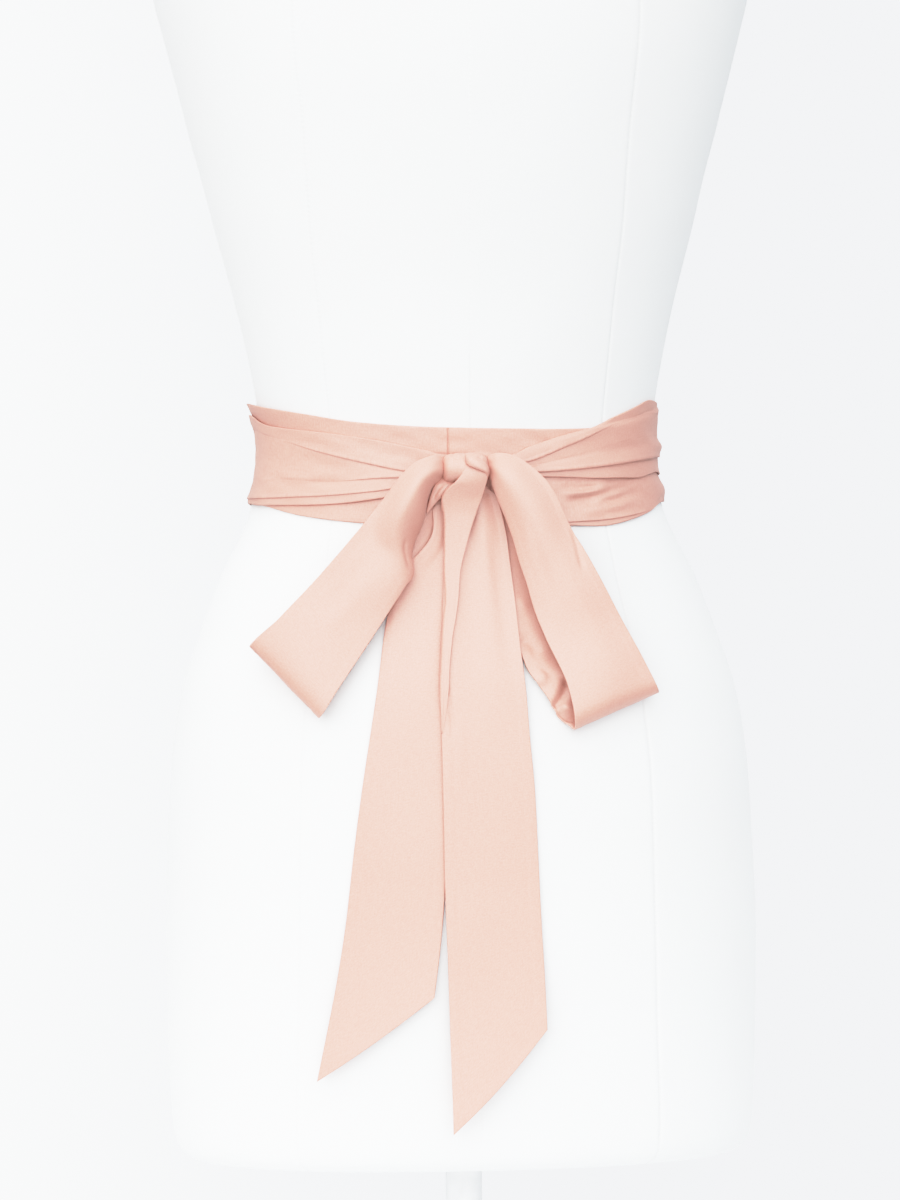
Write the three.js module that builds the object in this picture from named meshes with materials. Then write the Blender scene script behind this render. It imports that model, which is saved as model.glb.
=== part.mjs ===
import * as THREE from 'three';

// Satin sash tied in a bow round a limbless dress form, in millimetres.
// Facing the bow, X is to the right, Y goes away and Z is up. The origin is on the floor, under the post.

// Driving sizes
const waistHeight = 600;
const clothThickness = 1.2;
const firstLift = 1.1;
const overLift = 2.9;
const crossingLift = 2;
const crossingSpan = 8;
const seamGap = 0.3;
const pleatEdge = 0.6;
const pleatFade = 9;
const hangRise = -262;

const postRadius = 11.5;
const postClearance = 0.3;
const postSocket = 60;
const footRadius = 160;
const footEdge = 8;
const footCrown = 14;
const collarRadius = 19;
const collarHeight = 22;
const edgeRound = 2;
const roundSides = 40;

// The form: half width, depth to the back (the bow side) and to the front, and how square each section is
const formSections = [
  { rise: -438, half: 172, back: 106, front: 99, power: 2.3 },
  { rise: -434, half: 178.5, back: 112, front: 105, power: 2.3 },
  { rise: -425, half: 182.5, back: 115.5, front: 108, power: 2.3 },
  { rise: -399, half: 184.8, back: 118, front: 110, power: 2.3 },
  { rise: -343, half: 186.5, back: 121, front: 112, power: 2.3 },
  { rise: -287, half: 187, back: 124, front: 113, power: 2.3 },
  { rise: -234, half: 185, back: 125, front: 114, power: 2.3 },
  { rise: -186, half: 182, back: 123, front: 113, power: 2.3 },
  { rise: -145, half: 175.5, back: 118, front: 110, power: 2.25 },
  { rise: -114, half: 165.5, back: 111, front: 105, power: 2.2 },
  { rise: -74, half: 151, back: 101, front: 98, power: 2.1 },
  { rise: -51, half: 139.5, back: 96, front: 94, power: 2.1 },
  { rise: -33, half: 131.7, back: 93, front: 91, power: 2.05 },
  { rise: -6, half: 125.8, back: 90, front: 89, power: 2.05 },
  { rise: 19, half: 124.9, back: 90, front: 89, power: 2.05 },
  { rise: 46, half: 128.3, back: 91, front: 91, power: 2.1 },
  { rise: 98, half: 139, back: 95, front: 101, power: 2.15 },
  { rise: 147, half: 152, back: 101, front: 116, power: 2.2 },
  { rise: 178, half: 159.5, back: 105, front: 127, power: 2.2 },
  { rise: 206, half: 167, back: 108, front: 133, power: 2.2 },
  { rise: 228, half: 172.5, back: 110, front: 133, power: 2.2 },
  { rise: 251, half: 178.5, back: 111, front: 128, power: 2.2 },
  { rise: 272, half: 184, back: 111, front: 120, power: 2.2 },
  { rise: 292, half: 189, back: 110, front: 111, power: 2.2 },
  { rise: 318, half: 192, back: 106, front: 100, power: 2.25 },
  { rise: 340, half: 189, back: 100, front: 88, power: 2.3 },
  { rise: 358, half: 177, back: 91, front: 78, power: 2.35 },
  { rise: 374, half: 151, back: 80, front: 69, power: 2.3 },
  { rise: 386, half: 118, back: 70, front: 63, power: 2.2 },
  { rise: 398, half: 88, back: 63, front: 59, power: 2.1 },
  { rise: 412, half: 67, back: 58, front: 57, power: 2 },
  { rise: 432, half: 58, back: 55, front: 56, power: 2 },
  { rise: 458, half: 56, back: 54, front: 55, power: 2 },
  { rise: 462, half: 51, back: 49, front: 50, power: 2 },
];
const waistBandRise = 66;
const waistStep = 12;
const widestRow = 28;

// The two turns round the waist, by angle from the middle of the back, positive to the right
const firstTurn = [
  { angle: -180, bottom: 5, top: 42.5 },
  { angle: -172, bottom: 4.5, top: 42.5 },
  { angle: -150, bottom: -8, top: 41 },
  { angle: -120, bottom: -25, top: 36.5 },
  { angle: -90, bottom: -26.6, top: 35.9 },
  { angle: -74.5, bottom: -29.7, top: 30.3 },
  { angle: -59.1, bottom: -36.3, top: 24.7 },
  { angle: -43.7, bottom: -40.5, top: 19.7 },
  { angle: -23.4, bottom: -43.4, top: 16.6 },
  { angle: 1.8, bottom: -45, top: 15.3 },
  { angle: 33.5, bottom: -44.2, top: 15.2 },
  { angle: 48.2, bottom: -44.2, top: 16.6 },
  { angle: 57, bottom: -41.1, top: 18.9 },
  { angle: 67.7, bottom: -35.5, top: 23.7 },
  { angle: 77.4, bottom: -29.3, top: 27.7 },
  { angle: 90, bottom: -28.4, top: 31.6 },
  { angle: 120, bottom: -28, top: 30 },
  { angle: 150, bottom: -33, top: 16 },
  { angle: 172, bottom: -36.5, top: 1.5 },
  { angle: 180, bottom: -36.5, top: 1 },
];
const overLeft = [
  { angle: -180, bottom: -36.5, low: -29, mid: -20, high: -10, top: 1 },
  { angle: -172, bottom: -36.5, low: -29, mid: -20, high: -10, top: 1.5 },
  { angle: -150, bottom: -35, low: -28, mid: -16, high: -3, top: 12 },
  { angle: -120, bottom: -32, low: -27, mid: -14, high: 6, top: 25 },
  { angle: -95, bottom: -27.9, low: -24.1, mid: -12.6, high: 17.4, top: 29.9 },
  { angle: -86.9, bottom: -27.7, low: -24.1, mid: -12.6, high: 19.4, top: 29 },
  { angle: -77.6, bottom: -29.2, low: -24.5, mid: -13, high: 15.8, top: 22.5 },
  { angle: -69.4, bottom: -29.6, low: -24.5, mid: -13.3, high: 11.6, top: 19.5 },
  { angle: -50.9, bottom: -29.9, low: -23.9, mid: -13.9, high: 3.4, top: 14.7 },
  { angle: -33.5, bottom: -26.9, low: -21.5, mid: -12.2, high: -4, top: 9.2 },
  { angle: -18.3, bottom: -21.5, low: -17.5, mid: -13.1, high: -9.9, top: 3.4 },
  { angle: -10.2, bottom: -17.2, low: -14.3, mid: -11.1, high: -7.9, top: -0.2 },
  { angle: -2.5, bottom: -15.9, low: -12.9, mid: -9.7, high: -6.5, top: -2.4 },
];
const leftPleats = [
  { line: 'low', height: 0.9, from: -181, to: -14 },
  { line: 'mid', height: 1, from: -52, to: -14 },
  { line: 'high', height: 1.2, from: -181, to: -14 },
];
const overRight = [
  { angle: -2.3, bottom: -14.9, low: -10.9, high: -6.9, top: -2.9 },
  { angle: 7.3, bottom: -14.1, low: -10.6, high: -6.6, top: -2.1 },
  { angle: 14.8, bottom: -13.9, low: -10.5, high: -5.8, top: -0.9 },
  { angle: 23.1, bottom: -13.9, low: -10.7, high: -3.5, top: 5.2 },
  { angle: 36.5, bottom: -14.3, low: -9.2, high: 5.7, top: 12.6 },
  { angle: 48.2, bottom: -14.8, low: -7, high: 14.2, top: 17.9 },
  { angle: 56, bottom: -14.4, low: -5.1, high: 19.9, top: 24.3 },
  { angle: 65.8, bottom: -13.9, low: -2.4, high: 25.3, top: 31.2 },
  { angle: 72.6, bottom: -11.3, low: -0.8, high: 27.7, top: 35.4 },
  { angle: 78.4, bottom: -9.8, low: 0.5, high: 28.2, top: 35.7 },
  { angle: 90, bottom: -11.4, low: 1.1, high: 27.6, top: 34.6 },
  { angle: 120, bottom: -14, low: 4, high: 27, top: 38 },
  { angle: 150, bottom: -6, low: 12, high: 30, top: 41 },
  { angle: 172, bottom: 4.5, low: 18, high: 31, top: 42.5 },
  { angle: 180, bottom: 5, low: 18, high: 31, top: 42.5 },
];
const rightPleats = [
  { line: 'low', height: 1.5, from: 14, to: 181 },
  { line: 'high', height: 1.1, from: 14, to: 181 },
];

// The knot, a rounded bundle with the band's folds round it
const knot = {
  x: -3.9,
  out: 103,
  rise: -8.1,
  halfWidth: 13.3,
  halfDepth: 9.1,
  halfHeight: 9,
  power: 2.6,
  folds: 5,
  foldDepth: 0.05,
};

// The loops, from the knot along the front layer, round the bend and back behind it.
// Out is the distance towards the viewer from the form's middle plane, crown the bulge between the edges.
const leftLoop = [
  { along: 0, outerX: -18, outerRise: -1.3, outerOut: 100, innerX: -18.1, innerRise: -16.6, innerOut: 100, crown: 2 },
  { along: 5, outerX: -21.2, outerRise: -0.7, outerOut: 104, innerX: -21.9, innerRise: -19.1, innerOut: 103, crown: 4 },
  { along: 13, outerX: -26.6, outerRise: -1.5, outerOut: 107, innerX: -26.6, innerRise: -22.8, innerOut: 104, crown: 6 },
  { along: 21, outerX: -36, outerRise: -5.1, outerOut: 109, innerX: -28.6, innerRise: -29.5, innerOut: 105, crown: 8 },
  { along: 33, outerX: -45.4, outerRise: -13.5, outerOut: 110, innerX: -30, innerRise: -41.7, innerOut: 106.5, crown: 9 },
  { along: 47, outerX: -54.6, outerRise: -25.7, outerOut: 110, innerX: -34.3, innerRise: -53.8, innerOut: 108, crown: 8 },
  { along: 63, outerX: -67, outerRise: -40.3, outerOut: 110, innerX: -37.9, innerRise: -67.3, innerOut: 109.5, crown: 6 },
  { along: 87, outerX: -82.4, outerRise: -59.5, outerOut: 109, innerX: -47.5, innerRise: -89.1, innerOut: 112, crown: 4 },
  { along: 116, outerX: -100.7, outerRise: -78.9, outerOut: 107, innerX: -63.9, innerRise: -115.6, innerOut: 115, crown: 3 },
  { along: 150, outerX: -125.2, outerRise: -101.7, outerOut: 105, innerX: -83.9, innerRise: -143.9, innerOut: 118, crown: 2 },
  { along: 164, outerX: -134.4, outerRise: -112.1, outerOut: 102.5, innerX: -93.2, innerRise: -156, innerOut: 118, crown: 1.5 },
  { along: 171, outerX: -137.6, outerRise: -115.5, outerOut: 97, innerX: -96.2, innerRise: -159.6, innerOut: 114, crown: 0 },
  { along: 178, outerX: -133.4, outerRise: -111.6, outerOut: 91, innerX: -92.8, innerRise: -154.5, innerOut: 109.5, crown: -1 },
  { along: 226, outerX: -98, outerRise: -81, outerOut: 96, innerX: -66.4, innerRise: -112.3, innerOut: 109, crown: 0 },
  { along: 255, outerX: -78.8, outerRise: -61.2, outerOut: 95, innerX: -52.1, innerRise: -86.4, innerOut: 106, crown: 0 },
  { along: 279, outerX: -63.6, outerRise: -42.3, outerOut: 95, innerX: -44.3, innerRise: -63.5, innerOut: 103.5, crown: 0 },
  { along: 295, outerX: -51.5, outerRise: -27.4, outerOut: 95.5, innerX: -38.7, innerRise: -49.6, innerOut: 101, crown: 0 },
  { along: 309, outerX: -43.3, outerRise: -15.5, outerOut: 96, innerX: -34.1, innerRise: -39.6, innerOut: 99.5, crown: 0 },
  { along: 321, outerX: -34.3, outerRise: -7.6, outerOut: 96.5, innerX: -29, innerRise: -26.7, innerOut: 98, crown: 0 },
  { along: 330, outerX: -24.2, outerRise: -3.2, outerOut: 96.5, innerX: -22.9, innerRise: -17.7, innerOut: 97, crown: 0 },
  { along: 336, outerX: -18, outerRise: -3.3, outerOut: 97, innerX: -18.1, innerRise: -15.3, innerOut: 97, crown: 0 },
];
const rightLoop = [
  { along: 0, outerX: 10.2, outerRise: -2.1, outerOut: 100, innerX: 9.7, innerRise: -11.6, innerOut: 100, crown: 2 },
  { along: 9, outerX: 22.8, outerRise: -1, outerOut: 104, innerX: 10.7, innerRise: -14.1, innerOut: 103, crown: 3 },
  { along: 18, outerX: 32.3, outerRise: -5.6, outerOut: 107, innerX: 12.6, innerRise: -18.2, innerOut: 105, crown: 4 },
  { along: 29, outerX: 42.4, outerRise: -13.6, outerOut: 109, innerX: 16, innerRise: -27.4, innerOut: 107, crown: 6 },
  { along: 40, outerX: 48.9, outerRise: -22.9, outerOut: 110, innerX: 20.1, innerRise: -37.3, innerOut: 108, crown: 7 },
  { along: 52, outerX: 53, outerRise: -32.7, outerOut: 111, innerX: 23.6, innerRise: -49.5, innerOut: 109, crown: 7 },
  { along: 66, outerX: 57.8, outerRise: -45.6, outerOut: 111, innerX: 26.9, innerRise: -64.9, innerOut: 111, crown: 6 },
  { along: 82, outerX: 66.7, outerRise: -57.9, outerOut: 112, innerX: 31.4, innerRise: -80.2, innerOut: 113, crown: 5 },
  { along: 101, outerX: 76.4, outerRise: -77.6, outerOut: 112, innerX: 35.8, innerRise: -96.7, innerOut: 116, crown: 4 },
  { along: 121, outerX: 85.4, outerRise: -96, outerOut: 112, innerX: 42.4, innerRise: -114.3, innerOut: 120, crown: 3.5 },
  { along: 150, outerX: 100.7, outerRise: -120.6, outerOut: 113, innerX: 54.5, innerRise: -140, innerOut: 126, crown: 3 },
  { along: 170, outerX: 110.9, outerRise: -142.6, outerOut: 113, innerX: 57.9, innerRise: -161.6, innerOut: 130, crown: 2.5 },
  { along: 176, outerX: 112.6, outerRise: -146.7, outerOut: 108, innerX: 58.3, innerRise: -168.1, innerOut: 126, crown: 1 },
  { along: 182, outerX: 109.4, outerRise: -142.6, outerOut: 103.5, innerX: 53.1, innerRise: -164.5, innerOut: 121.5, crown: 0 },
  { along: 202, outerX: 101.5, outerRise: -128, outerOut: 101, innerX: 39.8, innerRise: -146.4, innerOut: 119.5, crown: 0 },
  { along: 220, outerX: 90.7, outerRise: -108.9, outerOut: 99, innerX: 29.5, innerRise: -129.3, innerOut: 116.5, crown: 0 },
  { along: 262, outerX: 68.1, outerRise: -72.7, outerOut: 96, innerX: 19.4, innerRise: -90.2, innerOut: 107.5, crown: 0 },
  { along: 300, outerX: 48.4, outerRise: -41.5, outerOut: 94.5, innerX: 13.8, innerRise: -52.1, innerOut: 99.5, crown: 0 },
  { along: 325, outerX: 33.6, outerRise: -23.3, outerOut: 95, innerX: 11, innerRise: -28.1, innerOut: 97, crown: 0 },
  { along: 341, outerX: 17.7, outerRise: -13.7, outerOut: 97, innerX: 10.6, innerRise: -18.1, innerOut: 97, crown: 0 },
];

// The tails, down the form's back, lift measured off the form. Gather is the height of the waves under the knot.
const leftTail = [
  { along: 0, leftX: -18.8, leftRise: -16.2, rightX: -1.3, rightRise: -16.4, leftLift: 5.3, rightLift: 5.3, gather: 0.7 },
  { along: 12, leftX: -25.9, leftRise: -27.7, rightX: 1, rightRise: -28, leftLift: 5.1, rightLift: 5.1, gather: 1 },
  { along: 30, leftX: -32.6, leftRise: -45.6, rightX: 0.7, rightRise: -46, leftLift: 4, rightLift: 4, gather: 1.2 },
  { along: 57, leftX: -43.4, leftRise: -73.5, rightX: -2.5, rightRise: -72, leftLift: 3.2, rightLift: 3.2, gather: 1 },
  { along: 86, leftX: -54.4, leftRise: -102.4, rightX: -6.6, rightRise: -99.9, leftLift: 2.4, rightLift: 2.4, gather: 0.6 },
  { along: 124, leftX: -61.1, leftRise: -143.3, rightX: -11.5, rightRise: -137.9, leftLift: 1.7, rightLift: 1.7, gather: 0.2 },
  { along: 148, leftX: -65.2, leftRise: -167.3, rightX: -13.8, rightRise: -159.8, leftLift: 1.5, rightLift: 1.5, gather: 0 },
  { along: 179, leftX: -70.6, leftRise: -199.3, rightX: -16.2, rightRise: -187.8, leftLift: 1.4, rightLift: 1.4, gather: 0 },
  { along: 217, leftX: -76.5, leftRise: -240.2, rightX: -19.2, rightRise: -223.8, leftLift: 1.4, rightLift: 1.4, gather: 0 },
  { along: 256, leftX: -81.8, leftRise: -284.1, rightX: -21.3, rightRise: -257.8, leftLift: 1.5, rightLift: 1.4, gather: 0 },
  { along: 287, leftX: -87.5, leftRise: -319.1, rightX: -23.3, rightRise: -282.8, leftLift: 1.8, rightLift: 1.5, gather: 0 },
  { along: 315, leftX: -93.9, leftRise: -351, rightX: -25.9, rightRise: -306.7, leftLift: 2.4, rightLift: 1.7, gather: 0 },
  { along: 342, leftX: -100.2, leftRise: -380.5, rightX: -29.1, rightRise: -330, leftLift: 3.4, rightLift: 2, gather: 0 },
];
const rightTail = [
  { along: 0, leftX: -12.3, leftRise: -17.6, rightX: 9.1, rightRise: -17.9, leftLift: 8.3, rightLift: 8.3, gather: 0.7 },
  { along: 8, leftX: -17.4, leftRise: -25.8, rightX: 15.6, rightRise: -26.1, leftLift: 8.2, rightLift: 7.6, gather: 0.8 },
  { along: 28, leftX: -16.8, leftRise: -45.8, rightX: 20, rightRise: -46.2, leftLift: 7.4, rightLift: 6.6, gather: 0.8 },
  { along: 47, leftX: -18.4, leftRise: -64.8, rightX: 22.2, rightRise: -65.2, leftLift: 6.5, rightLift: 5.8, gather: 0.8 },
  { along: 70, leftX: -19.7, leftRise: -87.8, rightX: 24.5, rightRise: -88.2, leftLift: 5.6, rightLift: 5.2, gather: 0.6 },
  { along: 98, leftX: -21.4, leftRise: -115.8, rightX: 26.6, rightRise: -116.3, leftLift: 4.9, rightLift: 4.8, gather: 0.4 },
  { along: 126, leftX: -22.4, leftRise: -143.8, rightX: 29.3, rightRise: -144.3, leftLift: 4.3, rightLift: 4.2, gather: 0.2 },
  { along: 156, leftX: -23, leftRise: -173.7, rightX: 31.1, rightRise: -173.3, leftLift: 4, rightLift: 2.6, gather: 0 },
  { along: 190, leftX: -22.7, leftRise: -207.8, rightX: 33.6, rightRise: -205.3, leftLift: 3.9, rightLift: 1.9, gather: 0 },
  { along: 238, leftX: -22.2, leftRise: -261.8, rightX: 35.4, rightRise: -250.4, leftLift: 3.9, rightLift: 1.7, gather: 0 },
  { along: 280, leftX: -20.9, leftRise: -309.8, rightX: 36.8, rightRise: -285.4, leftLift: 4, rightLift: 1.8, gather: 0 },
  { along: 318, leftX: -19.9, leftRise: -354.8, rightX: 38.3, rightRise: -315.4, leftLift: 4.5, rightLift: 2.2, gather: 0 },
  { along: 347, leftX: -19.1, leftRise: -389.8, rightX: 39.2, rightRise: -338.4, leftLift: 5.2, rightLift: 2.8, gather: 0 },
  { along: 365, leftX: -18.8, leftRise: -412.8, rightX: 39.6, rightRise: -350.4, leftLift: 5.8, rightLift: 3.2, gather: 0 },
];
const tailWaves = 2;

// The strip folded over the right tail's front: its free edge, and how far it stands off the tail
const tailFold = [
  { along: 0, freeX: 6.8, standOff: 2.7 },
  { along: 8, freeX: 4.3, standOff: 2.6 },
  { along: 18, freeX: 1.4, standOff: 2.5 },
  { along: 39, freeX: -5.4, standOff: 2.2 },
  { along: 56, freeX: -8.9, standOff: 2 },
  { along: 72, freeX: -12, standOff: 1.8 },
  { along: 83, freeX: -13.7, standOff: 1.7 },
  { along: 102, freeX: -17.2, standOff: 1.6 },
  { along: 132, freeX: -19.5, standOff: 1.6 },
  { along: 150, freeX: -21.1, standOff: 1.6 },
];

// A smooth curve through every column of a table, read at a value of its key column
function readTable(rows, key, value) {
  const last = rows.length - 1;
  let i = 0;
  while (i < last - 1 && value > rows[i + 1][key]) i += 1;
  const span = rows[i + 1][key] - rows[i][key];
  const t = THREE.MathUtils.clamp((value - rows[i][key]) / span, 0, 1);
  const result = {};
  for (const name of Object.keys(rows[i])) {
    const slope = (k) => {
      const a = Math.max(k - 1, 0);
      const b = Math.min(k + 1, last);
      return ((rows[b][name] - rows[a][name]) / (rows[b][key] - rows[a][key])) * span;
    };
    const h = 1 - t;
    result[name] = rows[i][name] * h * h * (1 + 2 * t) + rows[i + 1][name] * t * t * (1 + 2 * h)
      + slope(i) * t * h * h - slope(i + 1) * t * t * h;
  }
  return result;
}

// A point on the form at an angle from the middle of the back
function formPoint(degrees, rise) {
  const s = readTable(formSections, 'rise', rise);
  const a = THREE.MathUtils.degToRad(degrees);
  const depth = Math.cos(a) > 0 ? s.back : s.front;
  const reach = (Math.abs(Math.sin(a)) / s.half) ** s.power + (Math.abs(Math.cos(a)) / depth) ** s.power;
  const radius = reach ** (-1 / s.power);
  return new THREE.Vector3(radius * Math.sin(a), -radius * Math.cos(a), waistHeight + rise);
}

function formNormal(degrees, rise) {
  const around = formPoint(degrees + 1, rise).sub(formPoint(degrees - 1, rise));
  const up = formPoint(degrees, rise + 1).sub(formPoint(degrees, rise - 1));
  return around.cross(up).normalize();
}

// How far the form's back stands out at x, with cloth below the hips hanging straight from them
function backDepth(x, rise) {
  const s = readTable(formSections, 'rise', Math.max(rise, hangRise));
  return s.back * (1 - (Math.abs(x) / s.half) ** s.power) ** (1 / s.power);
}

function node(name, geometry, finish) {
  const mesh = new THREE.Mesh(geometry, new THREE.MeshStandardMaterial(finish));
  mesh.name = name;
  return mesh;
}

function signedVolume(points, faces) {
  return faces.reduce((sum, [a, b, c]) => sum + points[a].dot(points[b].clone().cross(points[c])), 0) / 6;
}

function closedGeometry(points, faces) {
  const outward = signedVolume(points, faces) > 0;
  const geometry = new THREE.BufferGeometry();
  geometry.setAttribute('position', new THREE.Float32BufferAttribute(points.flatMap((p) => p.toArray()), 3));
  geometry.setIndex(faces.flatMap(([a, b, c]) => (outward ? [a, b, c] : [a, c, b])));
  geometry.computeVertexNormals();
  return geometry;
}

// A wall between two grids of points, closed round its four edges
function wall(outer, inner) {
  const rows = outer.length;
  const columns = outer[0].length;
  const points = [...outer.flat(), ...inner.flat()];
  const front = (i, j) => i * columns + j;
  const back = (i, j) => rows * columns + front(i, j);
  const faces = [];
  const quad = (a, b, c, d) => faces.push([a, b, c], [a, c, d]);
  for (let i = 0; i < rows - 1; i += 1) {
    for (let j = 0; j < columns - 1; j += 1) {
      quad(front(i, j), front(i + 1, j), front(i + 1, j + 1), front(i, j + 1));
      quad(back(i, j), back(i, j + 1), back(i + 1, j + 1), back(i + 1, j));
    }
    quad(front(i, 0), back(i, 0), back(i + 1, 0), front(i + 1, 0));
    quad(front(i, columns - 1), front(i + 1, columns - 1), back(i + 1, columns - 1), back(i, columns - 1));
  }
  for (let j = 0; j < columns - 1; j += 1) {
    quad(front(0, j), front(0, j + 1), back(0, j + 1), back(0, j));
    quad(front(rows - 1, j), back(rows - 1, j), back(rows - 1, j + 1), front(rows - 1, j + 1));
  }
  return closedGeometry(points, faces);
}

// A closed skin through rings of points, from the first pole to the last
function loft(firstPole, rings, lastPole) {
  const sides = rings[0].length;
  const points = [firstPole, ...rings.flat(), lastPole];
  const at = (i, j) => 1 + i * sides + (j % sides);
  const end = points.length - 1;
  const faces = [];
  for (let j = 0; j < sides; j += 1) {
    faces.push([0, at(0, j + 1), at(0, j)]);
    for (let i = 0; i < rings.length - 1; i += 1) {
      faces.push([at(i, j), at(i, j + 1), at(i + 1, j + 1)], [at(i, j), at(i + 1, j + 1), at(i + 1, j)]);
    }
    faces.push([end, at(rings.length - 1, j), at(rings.length - 1, j + 1)]);
  }
  return closedGeometry(points, faces);
}

const steps = (from, to, count) => Array.from({ length: count + 1 }, (_, i) => from + ((to - from) * i) / count);

const canvasFinish = { color: 0xf4f6f6, roughness: 0.85, metalness: 0 };
const enamelFinish = { color: 0xeef1f2, roughness: 0.35, metalness: 0 };
const satinFinish = { color: 0xecc9ba, roughness: 0.42, metalness: 0, side: THREE.DoubleSide };

// The form: from the end of the post's socket down, out under the bottom and up to the neck
function makeTorso() {
  const sides = steps(0, 360, roundSides).slice(0, -1);
  const socket = postRadius + postClearance;
  const bottomRise = formSections[0].rise;
  const socketRing = (rise) => sides.map((angle) => {
    const a = THREE.MathUtils.degToRad(angle);
    return new THREE.Vector3(socket * Math.sin(a), -socket * Math.cos(a), waistHeight + rise);
  });
  const belowWaist = formSections.filter((s) => s.rise < -waistBandRise).map((s) => s.rise);
  const aboveWaist = formSections.filter((s) => s.rise > waistBandRise).map((s) => s.rise);
  const waistRises = steps(-waistBandRise, waistBandRise, (2 * waistBandRise) / waistStep);
  const listed = [...belowWaist, ...waistRises, ...aboveWaist];
  const rises = listed.flatMap((rise, i) => {
    const next = listed[i + 1];
    return next - rise > widestRow ? [rise, (rise + next) / 2] : [rise];
  });
  const rings = [
    socketRing(bottomRise + postSocket),
    socketRing(bottomRise),
    ...rises.map((rise) => sides.map((angle) => formPoint(angle, rise))),
  ];
  const topRise = formSections[formSections.length - 1].rise;
  const socketEnd = new THREE.Vector3(0, 0, waistHeight + bottomRise + postSocket);
  return node('form_torso', loft(socketEnd, rings, new THREE.Vector3(0, 0, waistHeight + topRise)), canvasFinish);
}

function makePost() {
  const top = waistHeight + formSections[0].rise + postSocket - postClearance;
  const bottom = footCrown + postClearance;
  const mesh = node('form_post', new THREE.CylinderGeometry(postRadius, postRadius, top - bottom, roundSides), enamelFinish);
  mesh.rotation.x = Math.PI / 2;
  mesh.position.z = (top + bottom) / 2;
  return mesh;
}

function turned(name, profile) {
  const geometry = new THREE.LatheGeometry(profile.map(([r, z]) => new THREE.Vector2(r, z)), roundSides);
  const mesh = node(name, geometry, enamelFinish);
  mesh.rotation.x = Math.PI / 2;
  return mesh;
}

function makeFoot() {
  return turned('form_base', [
    [0, 0],
    [footRadius - edgeRound, 0],
    [footRadius, edgeRound],
    [footRadius, footEdge - edgeRound],
    [footRadius - edgeRound, footEdge],
    [collarRadius + 2 * edgeRound, footCrown],
    [0, footCrown],
  ]);
}

// The collar that clamps the post, standing on the middle of the foot
function makeCollar() {
  const bore = postRadius + postClearance;
  const bottom = footCrown + postClearance;
  const top = footCrown + collarHeight;
  return turned('form_collar', [
    [bore, bottom],
    [collarRadius, bottom],
    [collarRadius, top - edgeRound],
    [collarRadius - edgeRound, top],
    [bore, top],
    [bore, bottom],
  ]);
}

// How strongly a pleat shows at an angle: it fades in and out over a few degrees
function pleatHeight(pleat, angle) {
  const rise = THREE.MathUtils.smoothstep(angle, pleat.from, pleat.from + pleatFade);
  const fall = 1 - THREE.MathUtils.smoothstep(angle, pleat.to - pleatFade, pleat.to);
  return pleat.height * rise * fall;
}

// One stretch of cloth round the waist. Above each pleat line the cloth stands out, and steps back below it.
// Flats gives the number of faces between one line and the next, from the bottom edge to the top.
function waistWall({ rows, pleats, lift, count, flats }) {
  const outer = [];
  const inner = [];
  for (const angle of steps(rows[0].angle, rows[rows.length - 1].angle, count)) {
    const row = readTable(rows, 'angle', angle);
    const nearCrossing = THREE.MathUtils.smoothstep(Math.abs(angle), 180 - crossingSpan, 180);
    const centre = THREE.MathUtils.lerp(lift, crossingLift, nearCrossing);
    const knots = [{ rise: row.bottom, relief: 0 }];
    for (const pleat of pleats) {
      knots.push({ rise: row[pleat.line] - pleatEdge, relief: 0 });
      knots.push({ rise: row[pleat.line] + pleatEdge, relief: pleatHeight(pleat, angle) });
    }
    knots.push({ rise: row.top, relief: 0 });
    for (let k = knots.length - 1; k > 0; k -= 1) {
      const a = knots[k - 1];
      const b = knots[k];
      const between = steps(0, 1, flats[k - 1]).slice(1, -1).map((t) => ({
        rise: THREE.MathUtils.lerp(a.rise, b.rise, t),
        relief: THREE.MathUtils.lerp(a.relief, b.relief, t),
      }));
      knots.splice(k, 0, ...between);
    }
    const place = (knot, offset) => formPoint(angle, knot.rise).addScaledVector(formNormal(angle, knot.rise), offset);
    outer.push(knots.map((knot) => place(knot, centre + clothThickness / 2 + knot.relief)));
    inner.push(knots.map((knot) => place(knot, centre - clothThickness / 2)));
  }
  return wall(outer, inner);
}

// The two halves of each turn end at the crossing in front, a seam gap apart
function trimmedToCrossing(rows) {
  const crossingRadius = formSections.find((s) => s.rise === 19).front;
  const trim = THREE.MathUtils.radToDeg(seamGap / 2 / crossingRadius);
  const limit = 180 - trim;
  return rows.map((row) => ({ ...row, angle: THREE.MathUtils.clamp(row.angle, -limit, limit) }));
}

function makeKnot() {
  const signedPower = (v) => Math.sign(v) * Math.abs(v) ** (2 / knot.power);
  const sides = steps(0, 360, 24).slice(0, -1);
  const levels = steps(-90, 90, 14).slice(1, -1);
  const spot = (turn, level) => {
    const u = THREE.MathUtils.degToRad(turn);
    const v = THREE.MathUtils.degToRad(level);
    const fold = 1 - knot.foldDepth * Math.abs(Math.sin((knot.folds * (u + v)) / 2)) * Math.cos(v);
    return new THREE.Vector3(
      knot.x + knot.halfWidth * signedPower(Math.sin(v)),
      -knot.out - knot.halfDepth * fold * signedPower(Math.cos(v)) * signedPower(Math.cos(u)),
      waistHeight + knot.rise + knot.halfHeight * fold * signedPower(Math.cos(v)) * signedPower(Math.sin(u)),
    );
  };
  const rings = levels.map((level) => sides.map((turn) => spot(turn, level)));
  return node('knot', loft(spot(0, -90), rings, spot(0, 90)), satinFinish);
}

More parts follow.
